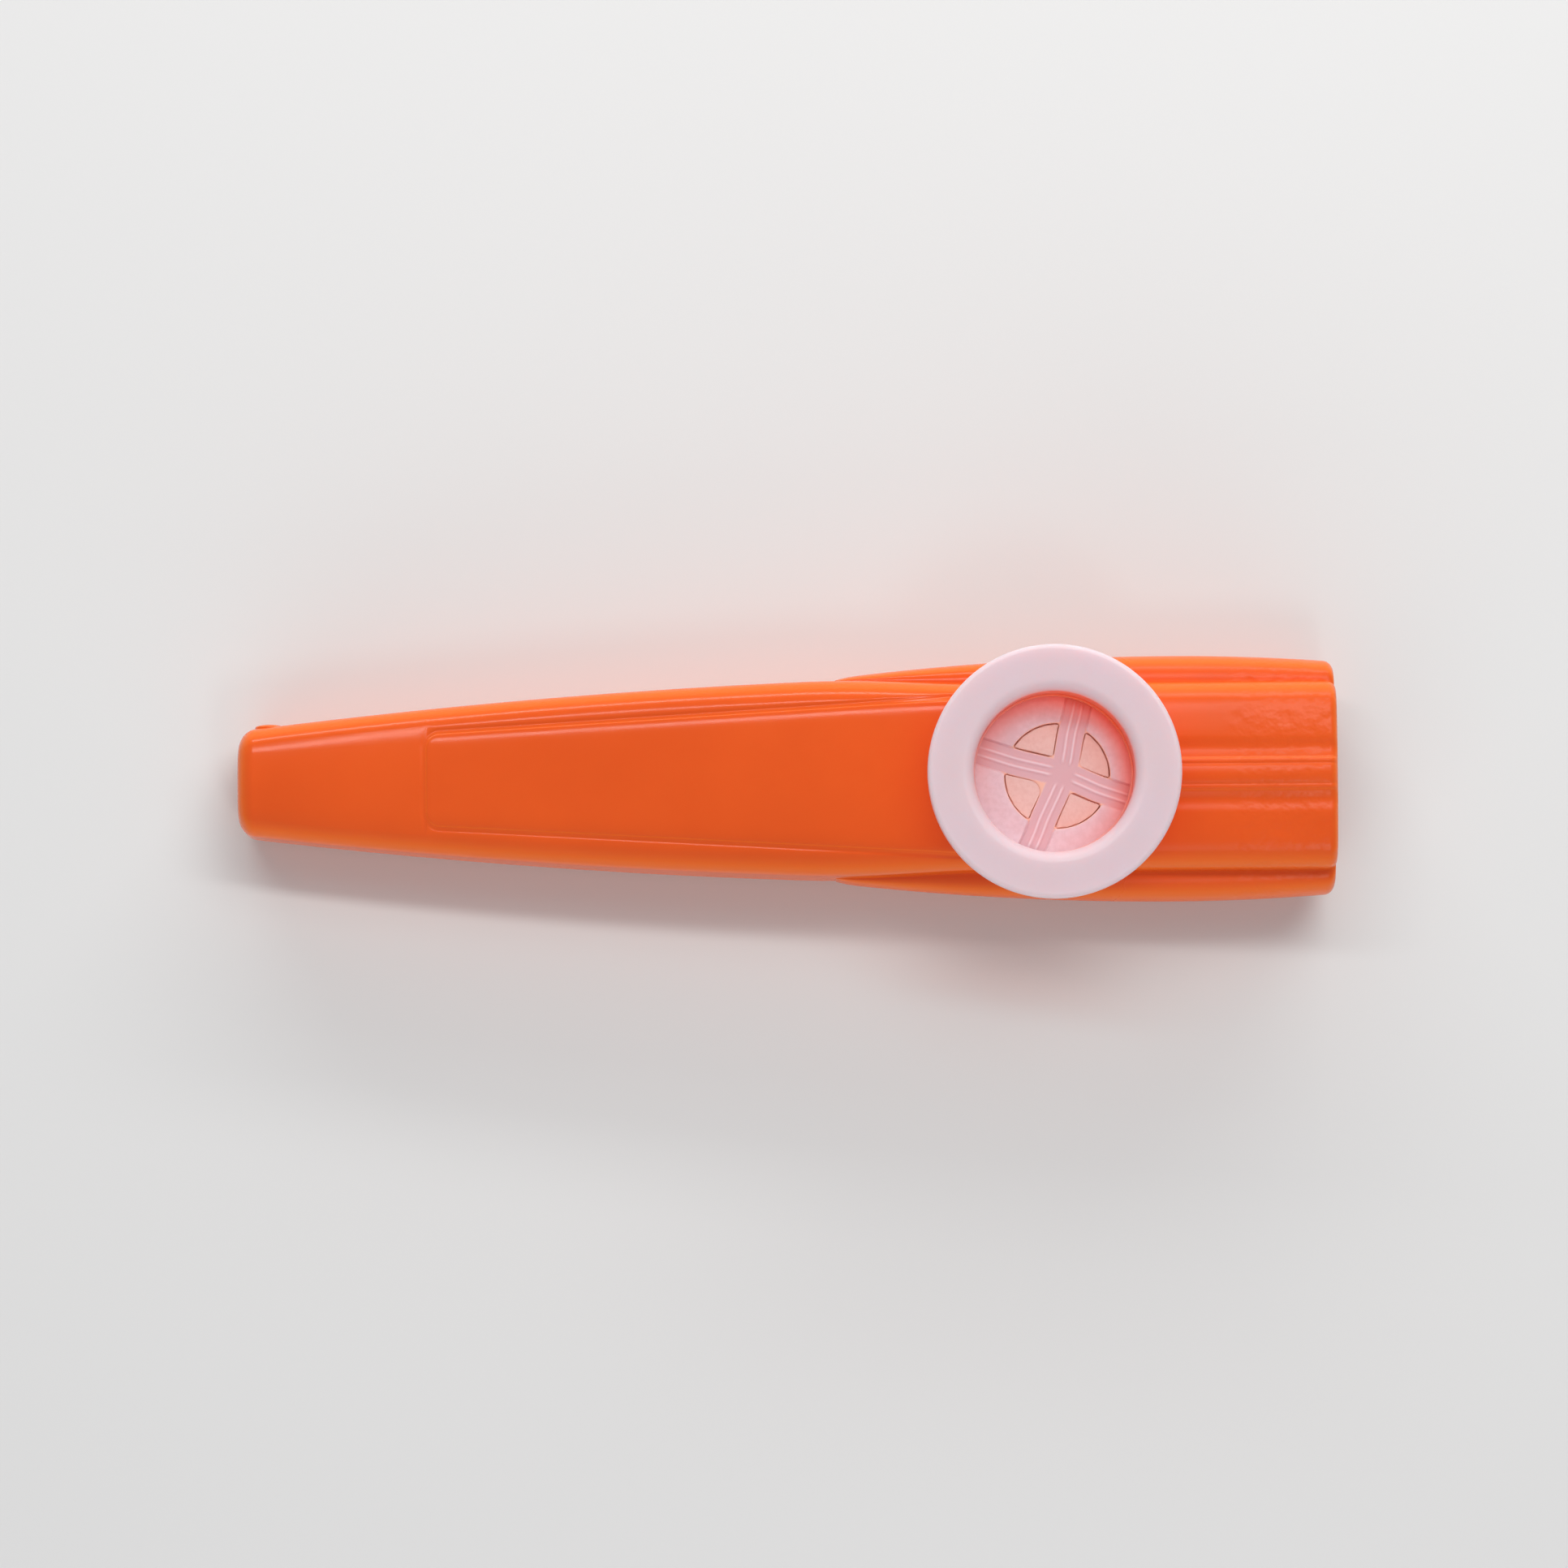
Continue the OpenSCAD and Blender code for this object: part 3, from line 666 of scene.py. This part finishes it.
def turretSpot(nodes, links, place):
    # The place seen from the turret's axis, in shares of the resonator's radius, without its height
    share = 1 / (resonatorR * mm)
    spot = nodes.new("ShaderNodeMapping")
    setInputs(spot, {"Scale": (share, share, 0), "Location": (-turretX / resonatorR, 0, 0)})
    links.new(place.outputs["Object"], spot.inputs["Vector"])
    return spot.outputs["Vector"]


def lengthOf(nodes, links, vector):  # how far a place lies from the origin
    node = nodes.new("ShaderNodeVectorMath")
    node.operation = "LENGTH"
    links.new(vector, node.inputs[0])
    return node.outputs["Value"]


def alongOf(nodes, links, vector, turn):
    # How far a place lies in the direction that stands at this angle to +X
    node = nodes.new("ShaderNodeVectorMath")
    node.operation = "DOT_PRODUCT"
    angle = math.radians(turn)
    node.inputs[1].default_value = (math.cos(angle), math.sin(angle), 0)
    links.new(vector, node.inputs[0])
    return node.outputs["Value"]


def paintedGlowSide(nodes, links, spot, look):
    # How much the painted glow's own side adds: an even share and a slope along the glow's direction, so
    # that one side is painted redder, as in the shade there
    along = alongOf(nodes, links, spot, look["glowTurn"])
    slant = mathOf(nodes, links, "MULTIPLY", along, look["glowSlant"])
    return mathOf(nodes, links, "ADD", slant, look["glowEven"])


def letThrough(nodes, links, shader, look):
    # Shadow rays take a share of the light through the piece, so the shadow that it throws is pale
    clear = nodes.new("ShaderNodeBsdfTransparent")
    clear.inputs["Color"].default_value = (*look["through"], 1)
    path = nodes.new("ShaderNodeLightPath")
    shadow = mathOf(nodes, links, "MULTIPLY", path.outputs["Is Shadow Ray"], look["throughShare"])
    mixShaders(nodes, links, shadow, shader, clear, "Material Output")


# glow is a painted glow in the base colour: a red orange for the lower bore, more on one side
capLook = {
    "milk": (0.71, 0.575, 0.635), "warm": (0.72, 0.575, 0.615), "paintedGlow": (0.95, 0.17, 0.08),
    "glowTop": 23.0, "glowFoot": 21.0, "glowOut": 10.0, "glowFall": 0.1, "glowEven": 0.6,
    "glowSlant": 0.5, "glowTurn": 60, "mottle": (120, 4), "mottleRange": (0.2, 0.8),
    "smear": (300, 3), "smearRange": (0.3, 0.7), "roughness": (0.36, 0.42),
    "grain": (2600, 2), "grainHeight": 0.005, "through": (1.0, 0.72, 0.66), "throughShare": 0.75,
    "shader": {"IOR": 1.48, "Subsurface Weight": 0.8, "Subsurface Scale": 0.003,
               "Subsurface Radius": (1.0, 0.6, 0.55)},
}


def capMaterial():
    # Milky plastic with a painted glow: the drum's orange, as it would show through, is painted into the
    # colour round the bore, most on the glow's own side
    look = capLook
    material, nodes, links = newMaterial("milky_plastic")
    shader = nodes["Principled BSDF"]
    place = nodes.new("ShaderNodeTexCoord")
    z = axesOf(nodes, links, place)["Z"]
    spot = turretSpot(nodes, links, place)
    low = rangeOf(nodes, links, z, (look["glowFoot"] * mm, look["glowTop"] * mm), (1, 0))
    out = look["glowOut"] / resonatorR
    inside = rangeOf(nodes, links, lengthOf(nodes, links, spot), (out - look["glowFall"], out), (1, 0))
    side = mathOf(nodes, links, "MINIMUM", paintedGlowSide(nodes, links, spot, look), 1)
    # The painted glow: low in the bore, inside its radius, and more on its own side
    paintedGlow = mathOf(nodes, links, "MULTIPLY", mathOf(nodes, links, "MULTIPLY", low, inside), side)
    mottle = rangeOf(nodes, links, noiseOf(nodes, links, place, look["mottle"]), look["mottleRange"])
    milk = mixColour(nodes, links, mottle, look["milk"], look["warm"])
    links.new(mixColour(nodes, links, paintedGlow, milk, look["paintedGlow"]), shader.inputs["Base Color"])
    smear = noiseOf(nodes, links, place, look["smear"])
    rough = rangeOf(nodes, links, smear, look["smearRange"], look["roughness"])
    links.new(rough, shader.inputs["Roughness"])
    grain = bumpOf(nodes, links, noiseOf(nodes, links, place, look["grain"]), look["grainHeight"])
    links.new(grain, shader.inputs["Normal"])
    setInputs(shader, look["shader"])
    letThrough(nodes, links, shader, look)
    return material


def capProfile():
    # Up the bore, over the funnel's quarter circle, round the flange's edge, a quarter circle above and one
    # below, and down the tube
    c, e, f, g = cap["chamfer"], cap["edge"], cap["funnel"], cap["fillet"]
    step = tubeZ + cap["foot"]
    bore = spread(step + cap["stepUp"], capZ - f - cap["short"], cap["borePoints"])
    top = spread(boreR + f, flangeR - e - cap["short"], cap["topPoints"])
    under = spread(flangeR - e, tubeR + g, cap["underPoints"])
    return np.concatenate([
        [[footR, tubeZ + cap["footEdge"]], [footR, step - cap["footRound"]],
         [footR + cap["footRound"], step], [boreR - cap["stepIn"], step], [boreR, step + cap["stepUp"]]],
        np.stack([0 * bore + boreR, bore], -1),
        arc((boreR + f, capZ - f), f, 180, 90, cap["funnelPoints"]),
        np.stack([top, 0 * top + capZ], -1),
        arc((flangeR - e, capZ - e), e, 90, 0, cap["edgePoints"]),
        arc((flangeR - e, flangeZ + e), e, 0, -90, cap["edgePoints"]),
        np.stack([under, 0 * under + flangeZ], -1),
        arc((tubeR + g, flangeZ - g), g, 90, 180, cap["filletPoints"]),
        [[tubeR, tubeZ + c], [tubeR - c, tubeZ], [footR + cap["footEdge"], tubeZ]],
    ])


turretCap = makePiece("turret_cap_moulded", *revolve(capProfile(), turretX, cap["turns"]))
dress(turretCap, "cap", "cap", capMaterial(), "turret_cap")
print("cap: turned,", len(turretCap.data.polygons), "faces")


# Resonator: a plate with four windows between two crossed bars

def plateLoops(corner):
    # Closed loops from a window's outline out to its quadrant's: each keeps a distance off the two bars'
    # middle lines and to a circle, and its inner corner is an arc that shrinks to nothing
    bar, rim, soft = plate["bar"], plate["rim"], plate["soft"]
    rimStep = rim * (1 - np.cos(np.linspace(0, np.pi / 2, plate["rimPoints"])))
    t = parts(1, plate["loops"])
    off = np.concatenate([bar - rimStep, mix(bar - rim, 0, t)])[:, None]
    outwards = mix(plate["window"] + rim, resonatorR, t ** plate["loopPower"])
    reach = np.concatenate([plate["window"] + rimStep, outwards])[:, None]
    drop = np.concatenate([rim - np.sqrt(rim ** 2 - (rim - rimStep) ** 2), 0 * t])
    fillet = corner * off / bar
    tight = plate["outerCorner"] * off / bar
    turnAt = np.sqrt((reach - tight) ** 2 - (off + tight) ** 2)
    start = np.arctan2(off + tight, turnAt)
    bends = [np.maximum(np.arcsin((bar + sign * soft) / reach), start) for sign in (-1, 1)]
    ends = [bends[0], bends[1], np.pi / 2 - bends[1], np.pi / 2 - bends[0], np.pi / 2 - start]
    stops = [(spread, end, count) for end, count in zip(ends, plate["arcSteps"])]
    turn = np.concatenate([start, walk(start, stops)], 1)
    out = begin(off + fillet, turnAt, plate["sideSteps"])
    outBend = begin(-np.pi / 2, start, plate["outerCornerSteps"])
    backBend = spread(np.pi / 2 - start, np.pi, plate["outerCornerSteps"])
    bend = np.pi + np.pi / 2 * np.arange(plate["cornerSteps"]) / plate["cornerSteps"]
    u = [out, turnAt + tight * np.cos(outBend), reach * np.cos(turn),
         off + tight + tight * np.cos(backBend), off + 0 * out[:, 1:], off + fillet + fillet * np.cos(bend)]
    v = [off + 0 * out, off + tight + tight * np.sin(outBend), reach * np.sin(turn),
         turnAt + tight * np.sin(backBend), out[:, :0:-1], off + fillet + fillet * np.sin(bend)]
    first = out.shape[1] + outBend.shape[1]
    arcPart = np.arange(first, first + turn.shape[1] - 1)
    return np.concatenate(u, 1), np.concatenate(v, 1), drop[:, None], arcPart


def plateHeight(u, v, drop):
    # Top of the plate: low bars between raised pads, two rounded ridges along each bar that stop short
    # of the middle, and a soft lump in the middle, a bell curve
    near, far, r = np.minimum(u, v), np.maximum(u, v), np.hypot(u, v)
    soft = plate["soft"]
    pad = ease((near - plate["bar"] + soft) / (2 * soft)) * ease((r - plate["window"]) / (2 * soft) + 1)
    across = clamp(1 - np.abs(near - plate["ridgeOff"]) / (plate["ridge"] + soft))
    rise = ease((far - plate["hub"]) / plate["ridgeRise"])
    along = rise * ease((footR - plate["ridgeShort"] - far) / plate["ridgeFall"])
    ridge = plate["ridgeHeight"] * np.sin(np.pi / 2 * across) ** 2 * along
    middle = plate["lump"] * np.exp(-(r / plate["lumpWidth"]) ** 2)
    return plateTop - plate["drop"] * (1 - pad) + ridge + middle - drop


def plateQuadrant(index):
    # One quadrant's top, its underside, its window's wall and its share of the outer wall, turned about
    # the axis by quarter turns
    u, v, drop, arcPart = plateLoops(plate["bigCorner"] if index == 2 else plate["corner"])
    top = np.stack([u, v, plateHeight(u, v, drop)], -1)
    under = np.stack([u, v, plateZ + 0 * u], -1)
    rows, columns = u.shape
    size = rows * columns
    loops = gridFaces(rows, columns, False, True)
    window = np.stack([np.arange(columns), np.roll(np.arange(columns), -1)], -1)
    outer = (rows - 1) * columns + np.stack([arcPart, arcPart + 1], -1)
    walls = np.concatenate([window, outer])
    faces = np.concatenate([loops, loops + size, np.concatenate([walls, walls[:, ::-1] + size], 1)])
    angle = math.radians(plate["turn"] + 90 * index)
    points = np.concatenate([top.reshape(-1, 3), under.reshape(-1, 3)])
    x = turretX + points[:, 0] * math.cos(angle) - points[:, 1] * math.sin(angle)
    y = points[:, 0] * math.sin(angle) + points[:, 1] * math.cos(angle)
    return np.stack([x, y, points[:, 2]], -1), faces


def inPlate(x, y):
    # The place turned into the cross's own directions, as the nearer and farther distance to its two
    # middle lines, and the distance to the turret's axis
    turn = math.radians(plate["turn"])
    u = np.abs(x * math.cos(turn) + y * math.sin(turn))
    v = np.abs(y * math.cos(turn) - x * math.sin(turn))
    return np.minimum(u, v), np.maximum(u, v), np.hypot(u, v)


def plateShift(x, y):
    # How far the cross stands off the turret's axis: an even shift that falls to nothing at the plate's
    # edge by the fourth power of the radius, and more in the middle, by the square of one less the square
    # of the radius in its reach
    r = np.hypot(x, y)
    even = 1 - (r / resonatorR) ** 4
    middle = clamp(1 - (r / plate["hubReach"]) ** 2) ** 2
    return [even * a + middle * b for a, b in zip(plate["shift"], plate["hubShift"])]


def finishPlate(piece):
    # Marks the ridges' tops for a painted highlight, the bars for painted shade and the windows' walls for
    # painted light, from 0 to 1, then moves the cross off centre
    x, y, z = readPoints(piece, "co")
    near, far, r = inPlate(x - turretX, y)
    onTop = z > plateZ + plate["markFrom"]
    arm = ease((far - plate["hub"]) / plate["markRise"]) * onTop
    # bar marks painted shade, ridge a painted highlight, and wall painted light on the windows' walls
    mark(piece, "bar", onTop * ease((plate["bar"] - near) / plate["soft"]))
    mark(piece, "ridge", arm * clamp(1 - np.abs(near - plate["ridgeOff"]) / plate["ridge"]))
    mark(piece, "wall", clamp(1 - np.maximum(plate["bar"] - near, r - plate["window"]) / plate["rim"]))
    shiftX, shiftY = plateShift(x - turretX, y)
    moved = np.stack([x + shiftX, y + shiftY, z], -1) * mm
    piece.data.vertices.foreach_set("co", moved.ravel())
    piece.data.update()


def resonatorPlate():  # the four quadrants as one piece
    quadrants = [plateQuadrant(index) for index in range(4)]
    starts = np.cumsum([0] + [len(points) for points, faces in quadrants])
    faces = np.concatenate([faces + start for (points, faces), start in zip(quadrants, starts)])
    piece = makePiece("resonator_plate", np.concatenate([points for points, faces in quadrants]), faces)
    finishPlate(piece)
    return piece


def ringProfile():  # a rectangle with round corners, from its inner lower corner on
    e = film["ringEdge"]
    inner, outer = resonatorR - film["ringWidth"] + e, resonatorR - e
    low, high = ringZ + e, filmZ - e
    corners = [((inner, low), 180), ((outer, low), 270), ((outer, high), 0), ((inner, high), 90)]
    return np.concatenate([arc(at, e, start, start + 90, film["edgePoints"]) for at, start in corners])


# The patch is a coarser grain; the two are added by their weights
satin = {
    "grainWeight": 0.6, "patchWeight": 0.4, "evenRange": (0.36, 0.64), "patchRange": (0.3, 0.7),
    "shader": {"IOR": 1.45, "Subsurface Scale": 0.001, "Subsurface Radius": (1.0, 0.6, 0.5)},
}
# glow is painted: an orange glow in the colour that grows towards the wall, more on one side
plateLook = {
    "low": (0.75, 0.61, 0.68), "high": (0.81, 0.68, 0.76), "paintedGlow": (0.93, 0.12, 0.04),
    # The marks are painted light and shade: bar is painted shade on the low bars, ridge a painted
    # highlight, wall painted light on the windows' walls
    "marks": {"bar": (0.75, 0.52, 0.58), "ridge": (0.90, 0.78, 0.86), "wall": (0.95, 0.60, 0.48)},
    "glowFrom": 0.58, "glowFull": 0.93, "glowEven": 0.42, "glowSlant": 0.62, "glowMiddle": 0.04,
    "glowTurn": 55, "roughness": (0.36, 0.46), "grain": (1800, 3), "patch": (225, 3), "grainHeight": 0.006,
    "soft": 0.3, "through": (1.0, 0.78, 0.76), "throughShare": 0.6,
}
# The film's glow is painted too, a red orange that grows towards its edge
filmLook = {
    "low": (0.88, 0.59, 0.55), "high": (0.93, 0.66, 0.62), "paintedGlow": (0.84, 0.31, 0.24), "marks": {},
    "glowFrom": 0.2, "glowFull": 0.7, "glowEven": 0.1, "glowSlant": 0.2, "glowMiddle": 0.03,
    "glowTurn": 0, "roughness": (0.5, 0.7), "grain": (2600, 3), "patch": (325, 3), "grainHeight": 0.01,
    "soft": 0.1, "through": (1.0, 0.85, 0.80), "throughShare": 0.5,
}


def satinMaterial(name, look):
    # A moulded or filmy surface with a fine even grain in its colour and height; places that are marked on
    # the mesh are painted lighter or darker as light and shade fall on them, and a painted orange glow is
    # mixed in by a share that grows towards the wall, most on the glow's own side
    material, nodes, links = newMaterial(name)
    shader = nodes["Principled BSDF"]
    place = nodes.new("ShaderNodeTexCoord")
    grain = noiseOf(nodes, links, place, look["grain"])
    patch = noiseOf(nodes, links, place, look["patch"])
    both = mathOf(nodes, links, "ADD", mathOf(nodes, links, "MULTIPLY", grain, satin["grainWeight"]),
                  mathOf(nodes, links, "MULTIPLY", patch, satin["patchWeight"]))
    even = rangeOf(nodes, links, both, satin["evenRange"])
    colour = mixColour(nodes, links, even, look["low"], look["high"])
    # Painted shade and highlights at the marked places
    for part, tint in look["marks"].items():
        colour = mixColour(nodes, links, markOf(nodes, part), colour, tint)
    # The painted glow: orange mixed into the colour towards the wall, most on its own side
    spot = turretSpot(nodes, links, place)
    around = rangeOf(nodes, links, lengthOf(nodes, links, spot), (look["glowFrom"], look["glowFull"]))
    sided = mathOf(nodes, links, "MULTIPLY", around, paintedGlowSide(nodes, links, spot, look))
    total = mathOf(nodes, links, "ADD", sided, look["glowMiddle"])
    share = mathOf(nodes, links, "MINIMUM", mathOf(nodes, links, "MAXIMUM", total, 0), 1)
    links.new(mixColour(nodes, links, share, colour, look["paintedGlow"]), shader.inputs["Base Color"])
    rough = rangeOf(nodes, links, patch, satin["patchRange"], look["roughness"])
    links.new(rough, shader.inputs["Roughness"])
    links.new(bumpOf(nodes, links, grain, look["grainHeight"]), shader.inputs["Normal"])
    setInputs(shader, satin["shader"])
    setInputs(shader, {"Subsurface Weight": look["soft"]})
    letThrough(nodes, links, shader, look)
    return material


pink = satinMaterial("satin_pink_plastic", plateLook)
resonator = resonatorPlate()
dress(resonator, "resonator", "resonator", pink, "resonator_frame")
filmRing = makePiece("membrane_ring_moulded", *revolve(ringProfile(), turretX, turret["turns"]))
dress(filmRing, "resonator", "resonator", pink, "membrane_ring")


# Membrane: a thin film that lies loosely under the windows

def crinkle(x, y):
    # Fine folds of the film: a sum of sine waves in seeded directions, finer ones lower
    draw = np.random.default_rng(film["seed"])
    height = 0 * x
    for k in range(film["folds"]):
        wave = mix(*film["foldRange"], k / (film["folds"] - 1))
        turn = draw.uniform(0, 2 * np.pi)
        phase = draw.uniform(0, 2 * np.pi)
        fold = np.sin(wave * (x * np.cos(turn) + y * np.sin(turn)) + phase)
        height = height + fold / (1 + film["foldFall"] * k)
    return height / np.abs(height).max()


def membraneFilm():
    # A thin crinkled disc: rings of points out from the middle, over the top and back underneath; it
    # swells up a little into each window of the plate
    rings, turns, half = film["rings"], film["turns"], film["half"]
    r = (resonatorR - film["inset"]) * np.arange(rings + 1)[:, None] / rings
    angle = np.arange(turns) * 2 * np.pi / turns
    x, y = r * np.cos(angle), r * np.sin(angle)
    shiftX, shiftY = plateShift(x, y)
    near, _, reach = inPlate(x - shiftX, y - shiftY)
    inside = np.minimum(near - plate["bar"], plate["window"] - reach)
    swell = film["bulge"] * ease(inside / film["bulgeStep"])
    fade = ease((resonatorR - film["ringWidth"] - r) / film["foldFade"])
    folds = film["crinkle"] * crinkle(x, y) * fade
    middle = filmZ + film["thick"] / 2 + folds + swell
    top, under = np.stack([x, y, middle + half], -1), np.stack([x, y, middle - half], -1)
    points = np.concatenate([top, under[::-1]]) + (turretX, 0, 0)
    return makePiece("membrane_film", points, gridFaces(2 * rings + 2, turns, False, True), film["sharp"])


filmSkin = satinMaterial("matt_film", filmLook)
filmPiece = membraneFilm()
dress(filmPiece, "resonator", "membrane", filmSkin, "membrane")
print("resonator: plate, film and ring made,", len(resonator.data.polygons), "faces in the plate")


# Floor, light and camera, in metres

stageLook = {
    "floor": (0.76, 0.76, 0.77), "finish": {"Roughness": 0.7, "Specular IOR Level": 0.2}, "size": 3.0,
    "drop": 0.00005, "backdrop": (0.52, 0.52, 0.53), "world": (0.88, 0.90, 0.93), "level": 0.27,
    "lamp": (1, 0.99, 0.96),
}
lights = {
    "key": {"at": (0.16, 0.30, 0.62), "size": (0.30, 0.30), "power": 0.75, "gloss": False},
    "high_strip": {"at": (0.04, 0.25, 0.52), "size": (0.7, 0.055), "power": 1.2, "gloss": True},
    "low_strip": {"at": (0.04, 0.48, 0.21), "size": (0.7, 0.055), "power": 1.05, "gloss": True},
    "side_box": {"at": (0.05, 0.55, 0.18), "size": (0.9, 0.3), "power": 1.3, "gloss": False},
    "glint": {"at": (0.11, -0.29, 0.48), "size": (0.08, 0.12), "power": 0.2, "gloss": True},
    "fill": {"at": (-0.20, -0.46, 0.40), "size": (0.6, 0.5), "power": 0.55, "gloss": False},
    "low_fill": {"at": (-0.02, -0.50, 0.15), "size": (0.9, 0.25), "power": 0.9, "gloss": False},
}
view = {
    "elevation": 86.4, "distance": 0.766, "lens": 160, "sensor": 36, "roll": 0.33,
    "aim": (-0.00018, -0.00027, 0.007), "clip": (0.01, 10),
}


def makeFloor():
    # A wide pale floor just under the belly
    half, low = stageLook["size"] / 2, -stageLook["drop"]
    corners = [(-half, -half, low), (half, -half, low), (half, half, low), (-half, half, low)]
    mesh = bpy.data.meshes.new("floor")
    mesh.from_pydata(corners, [], [(0, 1, 2, 3)])
    floor = bpy.data.objects.new("floor", mesh)
    bpy.context.scene.collection.objects.link(floor)
    material, nodes, _ = newMaterial("pale_floor")
    setInputs(nodes["Principled BSDF"], {"Base Color": (*stageLook["floor"], 1), **stageLook["finish"]})
    mesh.materials.append(material)


def makeLights():
    # Soft boxes that face the kazoo's middle; only those with gloss are seen in reflections
    for name, light in lights.items():
        lamp = bpy.data.lights.new(name, "AREA")
        lamp.shape = "RECTANGLE"
        lamp.size, lamp.size_y = light["size"]
        lamp.energy = light["power"]
        lamp.color = stageLook["lamp"]
        holder = bpy.data.objects.new(name, lamp)
        holder.location = light["at"]
        holder.rotation_euler = (-Vector(light["at"])).to_track_quat("-Z", "Y").to_euler()
        holder.visible_glossy = light["gloss"]
        bpy.context.scene.collection.objects.link(holder)


def makeWorld():
    # A pale sky lights the scene; the camera and reflections see a plain backdrop instead
    world = bpy.data.worlds.new("studio")
    bpy.context.scene.world = world
    world.use_nodes = True
    nodes, links = world.node_tree.nodes, world.node_tree.links
    sky = nodes["Background"]
    setInputs(sky, {"Color": (*stageLook["world"], 1), "Strength": stageLook["level"]})
    backdrop = nodes.new("ShaderNodeBackground")
    setInputs(backdrop, {"Color": (*stageLook["backdrop"], 1)})
    path = nodes.new("ShaderNodeLightPath")
    seen = mathOf(nodes, links, "MAXIMUM", path.outputs["Is Camera Ray"], path.outputs["Is Glossy Ray"])
    seen = mathOf(nodes, links, "MAXIMUM", seen, path.outputs["Is Transmission Ray"])
    mixShaders(nodes, links, seen, sky, backdrop, "World Output")


def makeCamera():
    # The camera stands over the kazoo, tipped a little to its near side and rolled a little
    camera = bpy.data.cameras.new("camera")
    camera.lens, camera.sensor_width = view["lens"], view["sensor"]
    camera.clip_start, camera.clip_end = view["clip"]
    holder = bpy.data.objects.new("camera", camera)
    tilt = math.radians(view["elevation"])
    back = Vector((0, -math.cos(tilt), math.sin(tilt)))
    holder.location = Vector(view["aim"]) + back * view["distance"]
    holder.rotation_mode = "QUATERNION"
    roll = Quaternion(back, math.radians(-view["roll"]))
    holder.rotation_quaternion = roll @ (-back).to_track_quat("-Z", "Y")
    bpy.context.scene.collection.objects.link(holder)
    bpy.context.scene.camera = holder


makeFloor()
makeLights()
makeWorld()
makeCamera()
bpy.context.scene.view_settings.view_transform = "Standard"
print("stage: floor, lights and camera made")
